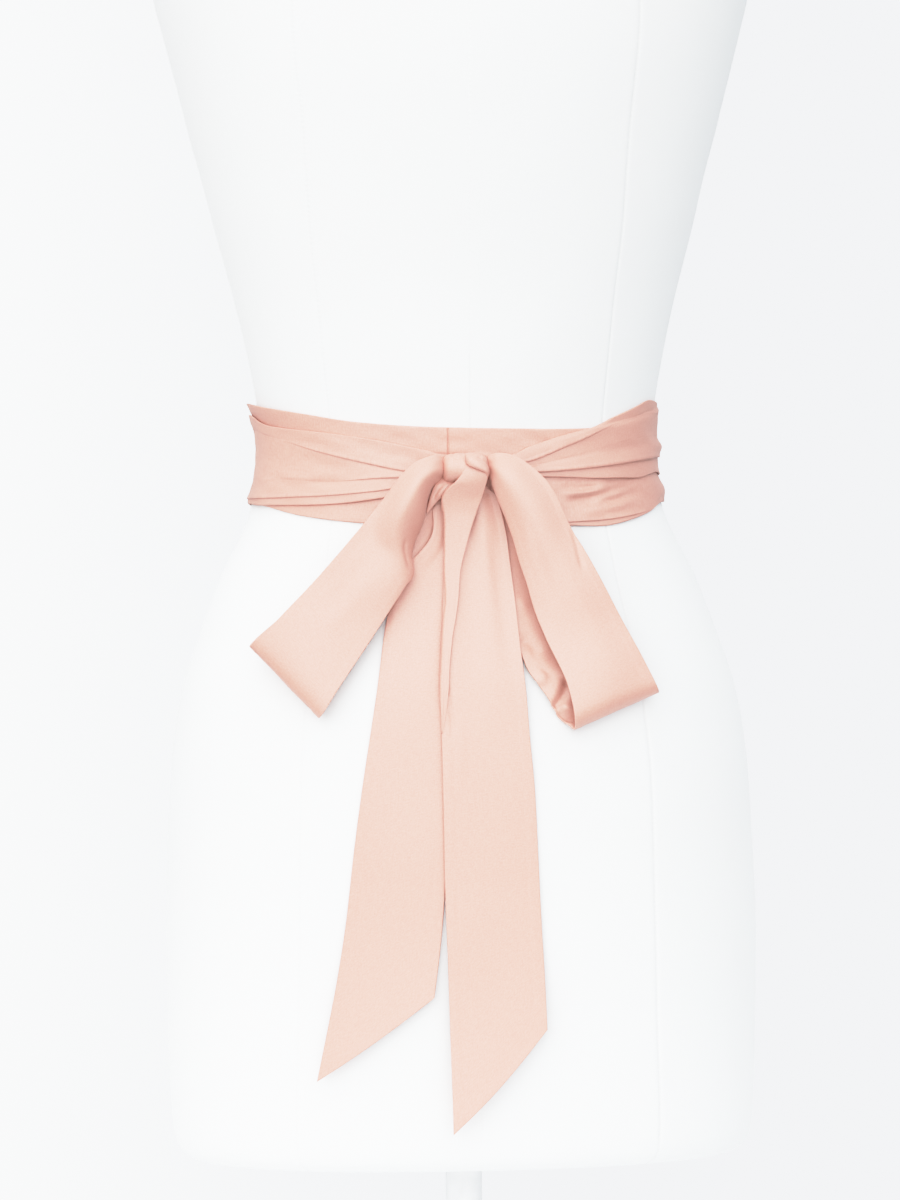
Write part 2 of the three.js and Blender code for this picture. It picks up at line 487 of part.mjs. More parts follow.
// A wall of even thickness about a grid of middle points
function evenWall(middle) {
  const rows = middle.length - 1;
  const columns = middle[0].length - 1;
  const normalAt = (i, j) => {
    const along = middle[Math.min(i + 1, rows)][j].clone().sub(middle[Math.max(i - 1, 0)][j]);
    const across = middle[i][Math.min(j + 1, columns)].clone().sub(middle[i][Math.max(j - 1, 0)]);
    return along.cross(across).normalize();
  };
  const shifted = (offset) => middle.map((row, i) => row.map((p, j) => p.clone().addScaledVector(normalAt(i, j), offset)));
  return wall(shifted(clothThickness / 2), shifted(-clothThickness / 2));
}

function loopWall(rows, count, across) {
  return evenWall(steps(0, rows[rows.length - 1].along, count).map((along) => {
    const row = readTable(rows, 'along', along);
    return steps(0, 1, across).map((t) => {
      const side = (1 - Math.cos(Math.PI * t)) / 2;
      const out = THREE.MathUtils.lerp(row.outerOut, row.innerOut, side) + row.crown * Math.sin(Math.PI * t);
      const x = THREE.MathUtils.lerp(row.outerX, row.innerX, side);
      const rise = THREE.MathUtils.lerp(row.outerRise, row.innerRise, side);
      return new THREE.Vector3(x, -out, waistHeight + rise);
    });
  }));
}

// Where a tail's cloth lies: x, rise and lift at a place across it
function tailSpot(rows, along, side) {
  const row = readTable(rows, 'along', along);
  const wave = row.gather * Math.sin(2 * Math.PI * tailWaves * side);
  return {
    x: THREE.MathUtils.lerp(row.leftX, row.rightX, side),
    rise: THREE.MathUtils.lerp(row.leftRise, row.rightRise, side),
    lift: THREE.MathUtils.lerp(row.leftLift, row.rightLift, side) + wave,
  };
}

function backWall(spots) {
  const place = (offset) => spots.map((row) => row.map(({ x, rise, lift }) => (
    new THREE.Vector3(x, -backDepth(x, rise) - lift - offset, waistHeight + rise)
  )));
  return wall(place(clothThickness / 2), place(-clothThickness / 2));
}

function tailWall(rows, count, across) {
  const alongs = steps(0, rows[rows.length - 1].along, count);
  return backWall(alongs.map((along) => steps(0, 1, across).map((side) => tailSpot(rows, along, side))));
}

// The folded strip lies on the right tail, from its left edge to the strip's own free edge
function tailFoldWall(count, across) {
  const alongs = steps(0, tailFold[tailFold.length - 1].along, count);
  return backWall(alongs.map((along) => {
    const strip = readTable(tailFold, 'along', along);
    const edges = readTable(rightTail, 'along', along);
    const reach = (strip.freeX - edges.leftX) / (edges.rightX - edges.leftX);
    return steps(0, reach, across).map((side) => {
      const spot = tailSpot(rightTail, along, side);
      return { ...spot, lift: spot.lift + strip.standOff };
    });
  }));
}

const group = new THREE.Group();
group.add(makeTorso());
group.add(makePost());
group.add(makeFoot());
group.add(makeCollar());
const turns = [
  { name: 'wrap_first', rows: firstTurn, pleats: [], lift: firstLift, count: 80, flats: [4] },
  { name: 'wrap_over_left', rows: overLeft, pleats: leftPleats, lift: overLift, count: 46, flats: [1, 1, 1, 1, 2, 1, 2] },
  { name: 'wrap_over_right', rows: overRight, pleats: rightPleats, lift: overLift, count: 46, flats: [2, 1, 2, 1, 1] },
];
for (const turn of turns) {
  group.add(node(turn.name, waistWall({ ...turn, rows: trimmedToCrossing(turn.rows) }), satinFinish));
}
group.add(makeKnot());
group.add(node('bow_loop_left', loopWall(leftLoop, 44, 6), satinFinish));
group.add(node('bow_loop_right', loopWall(rightLoop, 44, 6), satinFinish));
group.add(node('tail_left', tailWall(leftTail, 26, 8), satinFinish));
group.add(node('tail_right', tailWall(rightTail, 26, 8), satinFinish));
group.add(node('tail_right_fold', tailFoldWall(16, 3), satinFinish));

export default group;
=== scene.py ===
import math
import bpy
import numpy as np
from mathutils import Matrix, Vector


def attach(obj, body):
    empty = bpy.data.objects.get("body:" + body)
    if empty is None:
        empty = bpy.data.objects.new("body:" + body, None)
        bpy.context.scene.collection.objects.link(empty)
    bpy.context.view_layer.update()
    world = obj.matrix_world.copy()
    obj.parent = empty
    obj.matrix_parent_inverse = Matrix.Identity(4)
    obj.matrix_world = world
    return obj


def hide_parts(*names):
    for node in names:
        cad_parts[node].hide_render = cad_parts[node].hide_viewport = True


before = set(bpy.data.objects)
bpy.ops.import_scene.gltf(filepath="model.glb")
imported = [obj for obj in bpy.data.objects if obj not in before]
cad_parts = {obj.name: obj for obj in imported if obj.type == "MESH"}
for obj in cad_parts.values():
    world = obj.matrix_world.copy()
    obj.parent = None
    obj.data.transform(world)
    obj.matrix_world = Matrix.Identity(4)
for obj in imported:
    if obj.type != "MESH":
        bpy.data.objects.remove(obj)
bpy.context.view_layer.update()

# Sizes are in millimetres in the part's own frame: X right, Y away from the bow, Z up.
# makeMesh turns them into metres. A rise is a height above or below the waist.
mm = 0.001
waistHeight = 600
hangRise = -262  # below the hips the tails hang straight down from here
sashWidth = 60


# A table of named columns. A row that stops early ends in the plain values.
def columns(names, rows, plain=()):
    names = names.split()
    rows = [[*row, *plain[len(plain) - len(names) + len(row):]] for row in rows]
    return dict(zip(names, np.array(rows, float).T))


# A smooth curve through every column of a table, read at values of its key column
def readTable(table, key, at):
    x = table[key]
    at = np.clip(at, x[0], x[-1])
    i = np.clip(np.searchsorted(x, at, side="right") - 1, 0, len(x) - 2)
    before, after = np.maximum(i - 1, 0), np.minimum(i + 2, len(x) - 1)
    span = x[i + 1] - x[i]
    t = (at - x[i]) / span
    h = 1 - t
    result = {}
    for name, y in table.items():
        slopeStart = (y[i + 1] - y[before]) / (x[i + 1] - x[before]) * span
        slopeEnd = (y[after] - y[i]) / (x[after] - x[i]) * span
        result[name] = (y[i] * h * h * (1 + 2 * t) + y[i + 1] * t * t * (1 + 2 * h)
                        + slopeStart * t * h * h - slopeEnd * t * t * h)
    return result


def blendOver(x, start, end):
    t = np.clip((x - start) / (end - start), 0, 1)
    return t * t * (3 - 2 * t)


# A smooth hump of height 1, about twice the spread wide
def bell(x, spread):
    return np.exp(-(x / spread) ** 2)


def lerp(a, b, t):
    return a + (b - a) * t


def unit(v):
    return v / np.maximum(np.linalg.norm(v, axis=-1, keepdims=True), 1e-9)


# The form's shape, in the same sections as the part's
formSections = columns("rise half back front power", [
    [-438, 172, 106, 99, 2.3], [-434, 178.5, 112, 105, 2.3], [-425, 182.5, 115.5, 108, 2.3],
    [-399, 184.8, 118, 110, 2.3], [-343, 186.5, 121, 112, 2.3], [-287, 187, 124, 113, 2.3],
    [-234, 185, 125, 114, 2.3], [-186, 182, 123, 113, 2.3], [-145, 175.5, 118, 110, 2.25],
    [-114, 165.5, 111, 105, 2.2], [-74, 151, 101, 98, 2.1], [-51, 139.5, 96, 94, 2.1],
    [-33, 131.7, 93, 91, 2.05], [-6, 125.8, 90, 89, 2.05], [19, 124.9, 90, 89, 2.05],
    [46, 128.3, 91, 91, 2.1], [98, 139, 95, 101, 2.15], [147, 152, 101, 116, 2.2],
    [178, 159.5, 105, 127, 2.2], [206, 167, 108, 133, 2.2], [228, 172.5, 110, 133, 2.2],
    [251, 178.5, 111, 128, 2.2], [272, 184, 111, 120, 2.2], [292, 189, 110, 111, 2.2],
    [318, 192, 106, 100, 2.25], [340, 189, 100, 88, 2.3], [358, 177, 91, 78, 2.35],
    [374, 151, 80, 69, 2.3], [386, 118, 70, 63, 2.2], [398, 88, 63, 59, 2.1], [412, 67, 58, 57, 2],
    [432, 58, 55, 56, 2], [458, 56, 54, 55, 2], [462, 51, 49, 50, 2],
])


# A point on the form at an angle from the middle of the back, positive to the right
def formPoint(angle, rise):
    s = readTable(formSections, "rise", rise)
    a = np.radians(angle)
    depth = np.where(np.cos(a) > 0, s["back"], s["front"])
    reach = (np.abs(np.sin(a)) / s["half"]) ** s["power"] + (np.abs(np.cos(a)) / depth) ** s["power"]
    radius = reach ** (-1 / s["power"])
    return np.stack([radius * np.sin(a), -radius * np.cos(a), waistHeight + rise], axis=-1)


def formNormal(angle, rise):
    around = formPoint(angle + 1, rise) - formPoint(angle - 1, rise)
    up = formPoint(angle, rise + 1) - formPoint(angle, rise - 1)
    return unit(np.cross(around, up))


# How far the form's back stands out at x. The bow is on this side.
def backDepth(x, rise):
    s = readTable(formSections, "rise", np.maximum(rise, hangRise))
    return s["back"] * (1 - (np.abs(x) / s["half"]) ** s["power"]) ** (1 / s["power"])


def addPlaces(piece, name, places):
    layer = piece.data.attributes.new(name, "FLOAT_VECTOR", "POINT")
    layer.data.foreach_set("vector", (places * mm).astype(np.float32).ravel())


def makeMesh(name, points, quads, material, places=None):
    points = points.reshape(-1, 3)
    a, b, c, d = (points[quads[:, k]] for k in range(4))
    volume = np.einsum("ij,ij->i", a, np.cross(b, c) + np.cross(c, d)).sum()
    if volume < 0:
        quads = quads[:, ::-1]
    mesh = bpy.data.meshes.new(name)
    mesh.from_pydata((points * mm).tolist(), [], quads.tolist())
    mesh.shade_smooth()
    mesh.materials.append(material)
    piece = bpy.data.objects.new(name, mesh)
    bpy.context.scene.collection.objects.link(piece)
    if places is not None:
        addPlaces(piece, "place", places)
    return piece


def numberGrid(rows, count):
    return np.arange(rows * count).reshape(rows, count)


# Quads between the rings of a tube
def tubeQuads(rings, sides):
    index = numberGrid(rings, sides)
    beside = np.roll(index, -1, axis=1)
    return np.stack([index[:-1], beside[:-1], beside[1:], index[1:]], -1).reshape(-1, 4)


# Quads of a closed wall between a front grid and a back grid of the same size
def wallQuads(rows, count):
    index = numberGrid(rows, count)
    back = index + rows * count
    face = np.stack([index[:-1, :-1], index[1:, :-1], index[1:, 1:], index[:-1, 1:]], -1).reshape(-1, 4)
    quads = [face, face[:, [0, 3, 2, 1]] + rows * count]
    for front, behind in ((index[:, 0], back[:, 0]), (index[-1], back[-1]),
                          (index[::-1, -1], back[::-1, -1]), (index[0, ::-1], back[0, ::-1])):
        quads.append(np.stack([front[:-1], behind[:-1], behind[1:], front[1:]], -1))
    return np.concatenate(quads)


def makeWall(name, front, back, places, material):
    quads = wallQuads(*front.shape[:2])
    return makeMesh(name, np.concatenate([front, back]), quads, material, np.concatenate([places, places]))


def roundTurns(sides):
    return np.linspace(0, 2 * np.pi, sides + 1)[:-1][None, :]


# Steps in from a sewn edge, close together where it is rounded
edgeSteps = np.array([0, 0.06, 0.2, 0.45, 1, 1.9, 3.2])


# Places from one edge of the cloth to the other. The start may be plain, without the close steps.
def edgedSteps(width, spacing, start=True):
    first = edgeSteps if start else edgeSteps[:1]
    last = width - edgeSteps[::-1]
    count = max(2, int(round((last[0] - first[-1]) / spacing)))
    return np.concatenate([first, np.linspace(first[-1], last[0], count + 1)[1:-1], last])


# The cloth is rounded at its sewn edges, and fuller over the seam turned inside
sewnEdge = {"seamWidth": 6.5, "seamFullness": 0.16, "fadeBefore": 1, "fadeAfter": 0.6, "least": 0.03}


# Half the cloth's thickness at distances from its nearest edge
def halfThickness(edgeDistance, thickness):
    g, half = sewnEdge, thickness / 2
    closing = 1 - np.clip(edgeDistance / half, 0, 1)
    plain = blendOver(edgeDistance, g["seamWidth"] - g["fadeBefore"], g["seamWidth"] + g["fadeAfter"])
    return (half + g["seamFullness"] * (1 - plain)) * np.sqrt(1 - closing ** 2) + g["least"]


def gridNormals(grid):
    return unit(np.cross(np.gradient(grid, axis=0), np.gradient(grid, axis=1)))


# A sheet of cloth about a grid of middle points
def makeCloth(name, middle, places, edgeDistance, thickness, material):
    offset = gridNormals(middle) * halfThickness(edgeDistance, thickness)[..., None]
    return makeWall(name, middle + offset, middle - offset, places, material)


# A soft trough along a given path on the cloth, or a ridge where the depth is negative.
# Fade is the share of its length in which it dies away at each end.
def crease(points, depth, width, fade=0.35):
    return {"points": np.array(points, float), "depth": depth, "width": width, "fade": fade}


def creaseRelief(u, v, paths):
    total = np.zeros(u.shape)
    for path in paths:
        points = path["points"]
        lengths = np.linalg.norm(np.diff(points, axis=0), axis=1)
        starts = np.concatenate([[0], np.cumsum(lengths)])
        nearest = np.full(u.shape, np.inf)
        place = np.zeros(u.shape)
        for k in range(len(lengths)):
            direction = (points[k + 1] - points[k]) / lengths[k]
            du, dv = u - points[k, 0], v - points[k, 1]
            t = np.clip(du * direction[0] + dv * direction[1], 0, lengths[k])
            gap = np.hypot(du - t * direction[0], dv - t * direction[1])
            place = np.where(gap < nearest, starts[k] + t, place)
            nearest = np.minimum(nearest, gap)
        fade, spare = path["fade"] * starts[-1], 0.02
        ends = blendOver(place, -spare, fade) * (1 - blendOver(place, starts[-1] - fade, starts[-1] + spare))
        total -= path["depth"] * ends * bell(nearest, path["width"])
    return total


waves = {"count": 7, "stretch": (0.7, 1.6), "sum": 2.6}


# Slow unevenness of the cloth, the same on every run
def unevenness(u, v, size, height, seed):
    draw, count = np.random.default_rng(seed), waves["count"]
    total = np.zeros(u.shape)
    for turn, stretch, phase in zip(draw.uniform(0, math.pi, count), draw.uniform(*waves["stretch"], count),
                                    draw.uniform(0, 2 * math.pi, count)):
        along = u * math.cos(turn) + v * math.sin(turn)
        total += np.sin(along * 2 * math.pi / (size * stretch) + phase)
    return total * height / waves["sum"]


# Inputs are numbers, colours or the sockets that feed them
def addNode(tree, kind, inputs=None, **settings):
    made = tree.nodes.new(kind)
    for key, value in settings.items():
        setattr(made, key, value)
    for key, value in (inputs or {}).items():
        if isinstance(value, bpy.types.NodeSocket):
            tree.links.new(value, made.inputs[key])
        else:
            made.inputs[key].default_value = value
    return made


def calculate(tree, operation, *values):
    return addNode(tree, "ShaderNodeMath", dict(enumerate(values)), operation=operation).outputs[0]


def rangeMap(tree, value, fromLow, fromHigh, toLow=0.0, toHigh=1.0):
    inputs = {0: value, 1: fromLow, 2: fromHigh, 3: toLow, 4: toHigh}
    return addNode(tree, "ShaderNodeMapRange", inputs, interpolation_type="SMOOTHSTEP").outputs[0]


def mixColours(tree, factor, first, second):
    return addNode(tree, "ShaderNodeMix", {0: factor, 6: first, 7: second}, data_type="RGBA").outputs[2]


def addNoise(tree, place, scale=1.0, detail=2.0, roughness=0.5):
    inputs = {"Vector": place, "Scale": scale, "Detail": detail, "Roughness": roughness}
    return addNode(tree, "ShaderNodeTexNoise", inputs).outputs[0]


def splitVector(tree, vector):
    return addNode(tree, "ShaderNodeSeparateXYZ", {0: vector}).outputs


def stretchPlace(tree, place, stretch):
    return addNode(tree, "ShaderNodeMapping", {0: place, 3: stretch}).outputs[0]


# A place counted in a size, such as the thread's
def countIn(tree, place, size):
    inputs = {0: place, "Scale": calculate(tree, "DIVIDE", 1.0, size)}
    return addNode(tree, "ShaderNodeVectorMath", inputs, operation="SCALE").outputs[0]


# A group that reads a place and some values, and puts out others
def newGroup(name, values, outputs):
    group = bpy.data.node_groups.new(name, "ShaderNodeTree")
    group.interface.new_socket("Place", in_out="INPUT", socket_type="NodeSocketVector")
    for label, value in values.items():
        socket = group.interface.new_socket(label, in_out="INPUT", socket_type="NodeSocketFloat")
        socket.default_value = value
    for label in outputs:
        group.interface.new_socket(label, in_out="OUTPUT", socket_type="NodeSocketFloat")
    return group, group.nodes.new("NodeGroupInput").outputs, group.nodes.new("NodeGroupOutput").inputs


def useGroup(tree, group, inputs):
    return addNode(tree, "ShaderNodeGroup", inputs, node_tree=group).outputs


satinThreads = {
    "floatLength": 5.0, "stagger": 0.4, "gap": 0.16, "gapSoftness": 0.9,
    "slubStretch": (0.08, 0.4, 1), "slubDetail": 3.0, "warpStretch": (0.45, 0.06, 1), "warpStrength": 0.35,
    "mottleScale": 0.3, "mottleDetail": 3.0, "mottleRoughness": 0.7, "polishStrength": -0.6,
}


# Satin: staggered long floats over fine threads, slubs along the weft and a slow mottle
def makeSatinWeave():
    g = satinThreads
    group, given, result = newGroup("satinWeave", {"Thread": 0.0003, "Slub": 0.5},
                                    ["Height", "Tone", "Polish"])
    place = countIn(group, given["Place"], given["Thread"])
    across, along, _ = splitVector(group, place)
    turned = addNode(group, "ShaderNodeCombineXYZ", {0: along, 1: across})
    floats = addNode(group, "ShaderNodeTexBrick", {
        "Vector": turned.outputs[0], "Scale": 1.0, "Brick Width": g["floatLength"], "Row Height": 1.0,
        "Mortar Size": g["gap"], "Mortar Smooth": g["gapSoftness"]}, offset=g["stagger"], offset_frequency=2)
    slubs = addNoise(group, stretchPlace(group, place, g["slubStretch"]), detail=g["slubDetail"])
    warps = addNoise(group, stretchPlace(group, place, g["warpStretch"]))
    mottle = addNoise(group, place, g["mottleScale"], g["mottleDetail"], g["mottleRoughness"])
    slubs, warps, mottle = (calculate(group, "SUBTRACT", noise, 0.5) for noise in (slubs, warps, mottle))
    threads = rangeMap(group, floats.outputs["Fac"], 0.0, 1.0, 1.0, 0.0)
    uneven = calculate(group, "ADD", calculate(group, "MULTIPLY", slubs, given["Slub"]),
                       calculate(group, "MULTIPLY", warps, g["warpStrength"]))
    tone = calculate(group, "ADD", calculate(group, "ADD", uneven, mottle), 0.5)
    polish = calculate(group, "ADD", calculate(group, "MULTIPLY", uneven, g["polishStrength"]), 0.5)
    group.links.new(calculate(group, "ADD", threads, uneven), result["Height"])
    group.links.new(tone, result["Tone"])
    group.links.new(polish, result["Polish"])
    return group


yarnStretches = ((0.05, 0.8, 1), (0.8, 0.05, 1))


# Canvas: a plain weave of even threads with uneven yarn
def makeCanvasWeave():
    group, given, result = newGroup("canvasWeave", {"Thread": 0.0006}, ["Height", "Tone"])
    place = countIn(group, given["Place"], given["Thread"])
    threads = [calculate(group, "SINE", calculate(group, "MULTIPLY", part, 2 * math.pi))
               for part in splitVector(group, place)[:2]]
    woven = calculate(group, "ABSOLUTE", calculate(group, "MULTIPLY", *threads))
    yarn = calculate(group, "ADD", *(addNoise(group, stretchPlace(group, place, stretch))
                                     for stretch in yarnStretches))
    group.links.new(calculate(group, "ADD", woven, yarn), result["Height"])
    group.links.new(calculate(group, "MULTIPLY", yarn, 0.5), result["Tone"])
    return group


marks = {"detail": 5.0, "roughness": 0.6, "spread": (0.45, 0.75)}


# Handling marks: soft cloudy patches, and how much of the surface they touch
def makeHandling():
    group, given, result = newGroup("handling", {"Size": 0.05, "Amount": 0.3}, ["Mask"])
    place = countIn(group, given["Place"], given["Size"])
    cloud = addNoise(group, place, detail=marks["detail"], roughness=marks["roughness"])
    mask = calculate(group, "MULTIPLY", rangeMap(group, cloud, *marks["spread"]), given["Amount"])
    group.links.new(mask, result["Mask"])
    return group


satinWeave, canvasWeave, handling = makeSatinWeave(), makeCanvasWeave(), makeHandling()


def newMaterial(name, constants):
    material = bpy.data.materials.new(name)
    material.use_nodes = True
    tree = material.node_tree
    tree.nodes.clear()
    surface = addNode(tree, "ShaderNodeBsdfPrincipled", constants)
    addNode(tree, "ShaderNodeOutputMaterial", {"Surface": surface.outputs[0]})
    return material, tree, surface


def readPlaces(tree, name):
    return addNode(tree, "ShaderNodeAttribute", attribute_name=name).outputs["Vector"]


def joinSurface(tree, surface, colour, roughness, height, strength, depth):
    bump = addNode(tree, "ShaderNodeBump", {"Height": height, "Strength": strength, "Distance": depth})
    for name, socket in (("Base Color", colour), ("Roughness", roughness), ("Normal", bump.outputs[0])):
        tree.links.new(socket, surface.inputs[name])


def handledMask(tree, place, g):
    return useGroup(tree, handling, {
        "Place": place, "Size": g["wornSize"], "Amount": g["wornAmount"]})["Mask"]


satin = {
    "dark": (0.565, 0.262, 0.21, 1), "light": (0.635, 0.33, 0.27, 1),
    "roughness": (0.38, 0.48), "ior": 1.75, "sheen": 0.12, "sheenRoughness": 0.4,
    "thread": 0.0003, "slub": 0.45, "spread": (0.2, 0.8), "weaveStrength": 0.3, "weaveDepth": 0.00005,
}


def makeSatin():
    g = satin
    material, tree, surface = newMaterial("blushSatin", {
        "Sheen Weight": g["sheen"], "Sheen Roughness": g["sheenRoughness"], "IOR": g["ior"]})
    weave = useGroup(tree, satinWeave, {
        "Place": readPlaces(tree, "place"), "Thread": g["thread"], "Slub": g["slub"]})
    colour = mixColours(tree, rangeMap(tree, weave["Tone"], *g["spread"]), g["dark"], g["light"])
    polish = rangeMap(tree, weave["Polish"], *g["spread"], *g["roughness"])
    joinSurface(tree, surface, colour, polish, weave["Height"], g["weaveStrength"], g["weaveDepth"])
    return material


canvas = {
    "clean": (0.855, 0.88, 0.89, 1), "worn": (0.84, 0.855, 0.855, 1), "seamLine": (0.72, 0.725, 0.73, 1),
    "roughness": (0.72, 0.88), "specular": 0.25, "sheen": 0.35, "sheenRoughness": 0.5,
    "thread": 0.0007, "spread": (0.2, 0.8), "yarnSpread": (0.3, 0.7), "yarnStrength": 0.35,
    "wornSize": 0.09, "wornAmount": 0.5,
    "lineReach": (0.0002, 0.0009), "lineStrength": 0.6, "stitchReach": (0.0004, 0.0022), "stitchPitch": 3.2,
    "weaveHeight": 0.4, "weaveStrength": 0.4, "weaveDepth": 0.00012,
}


def makeCanvas():
    g = canvas
    material, tree, surface = newMaterial("whiteCanvas", {
        "Specular IOR Level": g["specular"], "Sheen Weight": g["sheen"],
        "Sheen Roughness": g["sheenRoughness"]})
    place = readPlaces(tree, "place")
    weave = useGroup(tree, canvasWeave, {"Place": place, "Thread": g["thread"]})
    worn = handledMask(tree, place, g)
    across, along, shows = splitVector(tree, readPlaces(tree, "seam"))
    gap = calculate(tree, "ABSOLUTE", across)
    line = calculate(tree, "MULTIPLY", rangeMap(tree, gap, *g["lineReach"], g["lineStrength"], 0.0), shows)
    colour = mixColours(tree, worn, g["clean"], g["worn"])
    colour = mixColours(tree, line, colour, g["seamLine"])
    yarn = rangeMap(tree, weave["Tone"], *g["yarnSpread"], 0.0, g["yarnStrength"])
    colour = mixColours(tree, yarn, colour, g["worn"])
    roughness = rangeMap(tree, weave["Tone"], *g["spread"], *g["roughness"])
    # small stitches that pull the cloth in along each seam
    pulled = calculate(tree, "MULTIPLY", along, 2 * math.pi / (g["stitchPitch"] * mm))
    stitch = calculate(tree, "MULTIPLY", calculate(tree, "SINE", pulled),
                       rangeMap(tree, gap, *g["stitchReach"], 1.0, 0.0))
    height = calculate(tree, "ADD", calculate(tree, "MULTIPLY", weave["Height"], g["weaveHeight"]), stitch)
    joinSurface(tree, surface, colour, roughness, height, g["weaveStrength"], g["weaveDepth"])
    return material


enamel = {
    "clean": (0.83, 0.84, 0.85, 1), "worn": (0.62, 0.63, 0.64, 1), "roughness": (0.3, 0.5),
    "coat": 0.3, "coatRoughness": 0.15, "wornSize": 0.03, "wornAmount": 0.6, "rubbedSpread": (0.0, 0.5),
    "peelScale": 700.0, "peelStrength": 0.12, "peelDepth": 0.0002,
}


def makeEnamel():
    g = enamel
    material, tree, surface = newMaterial("whiteEnamel", {
        "Coat Roughness": g["coatRoughness"], "Coat Weight": g["coat"]})
    place = addNode(tree, "ShaderNodeTexCoord").outputs["Object"]
    rubbed = handledMask(tree, place, g)
    colour = mixColours(tree, rubbed, g["clean"], g["worn"])
    roughness = rangeMap(tree, rubbed, *g["rubbedSpread"], *g["roughness"])
    joinSurface(tree, surface, colour, roughness, addNoise(tree, place, g["peelScale"]),
                g["peelStrength"], g["peelDepth"])
    return material


blushSatin, whiteCanvas, whiteEnamel = makeSatin(), makeCanvas(), makeEnamel()
print("materials made")


# The dress form
formBody = {
    "underside": -438,
    "neckStart": 300,
    "neckTop": 462,
    "rowHeight": 5,
    "neckRowHeight": 3,
    "seamReach": [0, 0.35, 0.8, 1.5, 2.6, 4.5],
    "panelColumns": 14,
    "seamDepth": 0.5,
    "seamWidth": 0.8,
    # how plain each seam is, from the middle of the back round to the right
    "seamShows": [0.15, 1, 0.7, 0.8, 0.6, 0.8, 0.7, 0.35],
    "allowance": 5.5,
    "allowanceFade": 1.5,
    "allowanceHeight": 0.12,
    "ripple": (90, 0.22, 3),
    # radii that turn an angle into a length round the form
    "meanRadius": 115,
    "weaveRadius": 130,
    "socket": 11.8,
    "socketDepth": 60,
    "closed": 0.02,  # size of the last ring of a closed end
    "undersideRings": (0.3, 0.6, 0.85, 0.97),
    "neckRings": (0.9, 0.6, 0.3),
}
# where the cover's seams run: angles by rise, mirrored on the other side
seamAngles = columns("rise back side front", [
    [-438, 49, 90, 132], [-274, 45.5, 90, 134], [-151, 45.5, 90, 135], [-99, 46.5, 90, 134],
    [-47, 48.5, 90, 131], [19, 51.7, 90, 129], [114, 51, 90, 132], [200, 48.6, 90, 138],
    [277, 48.7, 90, 139], [330, 47, 90, 138], [375, 44, 90, 136], [462, 42, 90, 136],
])


def makeFormBody():
    g = formBody
    underside, neckStart, neckTop = g["underside"], g["neckStart"], g["neckTop"]
    rises = np.concatenate([
        underside + np.array([0, 1, 4, 9]), np.arange(underside + 15, neckStart, g["rowHeight"]),
        np.arange(neckStart, neckTop, float(g["neckRowHeight"])), neckTop - np.array([2, 0.5, 0])])
    rises = np.unique(np.round(rises, 2))
    seams = readTable(seamAngles, "rise", rises)
    lines = [0 * rises, seams["back"], seams["side"], seams["front"]]
    lines = lines + [0 * rises + 180] + [360 - line for line in lines[::-1]]
    inner = np.repeat([g["seamReach"]], len(rises), 0)
    clear = g["seamReach"][-1]
    steps = np.linspace(0, 1, g["panelColumns"] + 2)[1:-1]
    angles, gaps, shows = [], [], []
    for k, (left, right) in enumerate(zip(lines[:-1], lines[1:])):
        left, turn = left[:, None], (right - left)[:, None]
        width = np.radians(turn) * g["meanRadius"]
        across = np.concatenate([inner, clear + (width - 2 * clear) * steps,
                                 (width - inner[:, ::-1])[:, :-1]], axis=1)
        nearLeft = across < width / 2
        angles.append(left + turn * across / width)
        gaps.append(np.where(nearLeft, across, across - width))
        shows.append(np.where(nearLeft, g["seamShows"][k], np.roll(g["seamShows"], -1)[k]))
    angle, gap, show = (np.concatenate(v, 1) for v in (angles, gaps, shows))
    rise = np.repeat(rises[:, None], angle.shape[1], 1)
    near = np.abs(gap)
    folded = 1 - blendOver(near, g["allowance"] - g["allowanceFade"], g["allowance"])
    relief = show * (g["allowanceHeight"] * folded - g["seamDepth"] * bell(near, g["seamWidth"]))
    relief += unevenness(np.radians(angle) * g["meanRadius"], rise, *g["ripple"])
    # the relief dies away at the underside and the neck
    fade = blendOver(rise, underside + 2, underside + 18) * (1 - blendOver(rise, neckTop - 22, neckTop - 4))
    outward = formNormal(angle, np.clip(rise, underside + 13, neckTop - 22))
    points = formPoint(angle, rise) + outward * (relief * fade)[..., None]
    turn = np.radians(angle[0])

    def socketRing(rise):
        return np.stack([g["socket"] * np.sin(turn), -g["socket"] * np.cos(turn),
                         0 * turn + waistHeight + rise], -1)

    # the flat underside with its socket for the post, and the closed top of the neck
    deep, rim = socketRing(underside + g["socketDepth"]), socketRing(underside)
    below = [deep * [g["closed"], g["closed"], 1], deep, rim]
    below += [lerp(rim, points[0], share) for share in g["undersideRings"]]
    above = [points[-1] * [size, size, 1] for size in (*g["neckRings"], g["closed"])]
    grid = np.concatenate([below, points, above])
    places = np.stack([np.radians(angle) * g["weaveRadius"], rise, 0 * rise], -1)
    seamPlaces = np.stack([gap, rise, show / mm], -1)
    places, seamPlaces = (np.pad(values, ((len(below), len(above)), (0, 0), (0, 0)), mode="edge")
                          for values in (places, seamPlaces))
    piece = makeMesh("formCover", grid, tubeQuads(*grid.shape[:2]), whiteCanvas, places)
    addPlaces(piece, "seam", seamPlaces)
    return piece


formCover = makeFormBody()
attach(formCover, "root")
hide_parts("form_torso")
for node in ("form_post", "form_collar", "form_base"):
    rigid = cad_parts[node]
    rigid.data.materials.clear()
    rigid.data.materials.append(whiteEnamel)
print("form made")


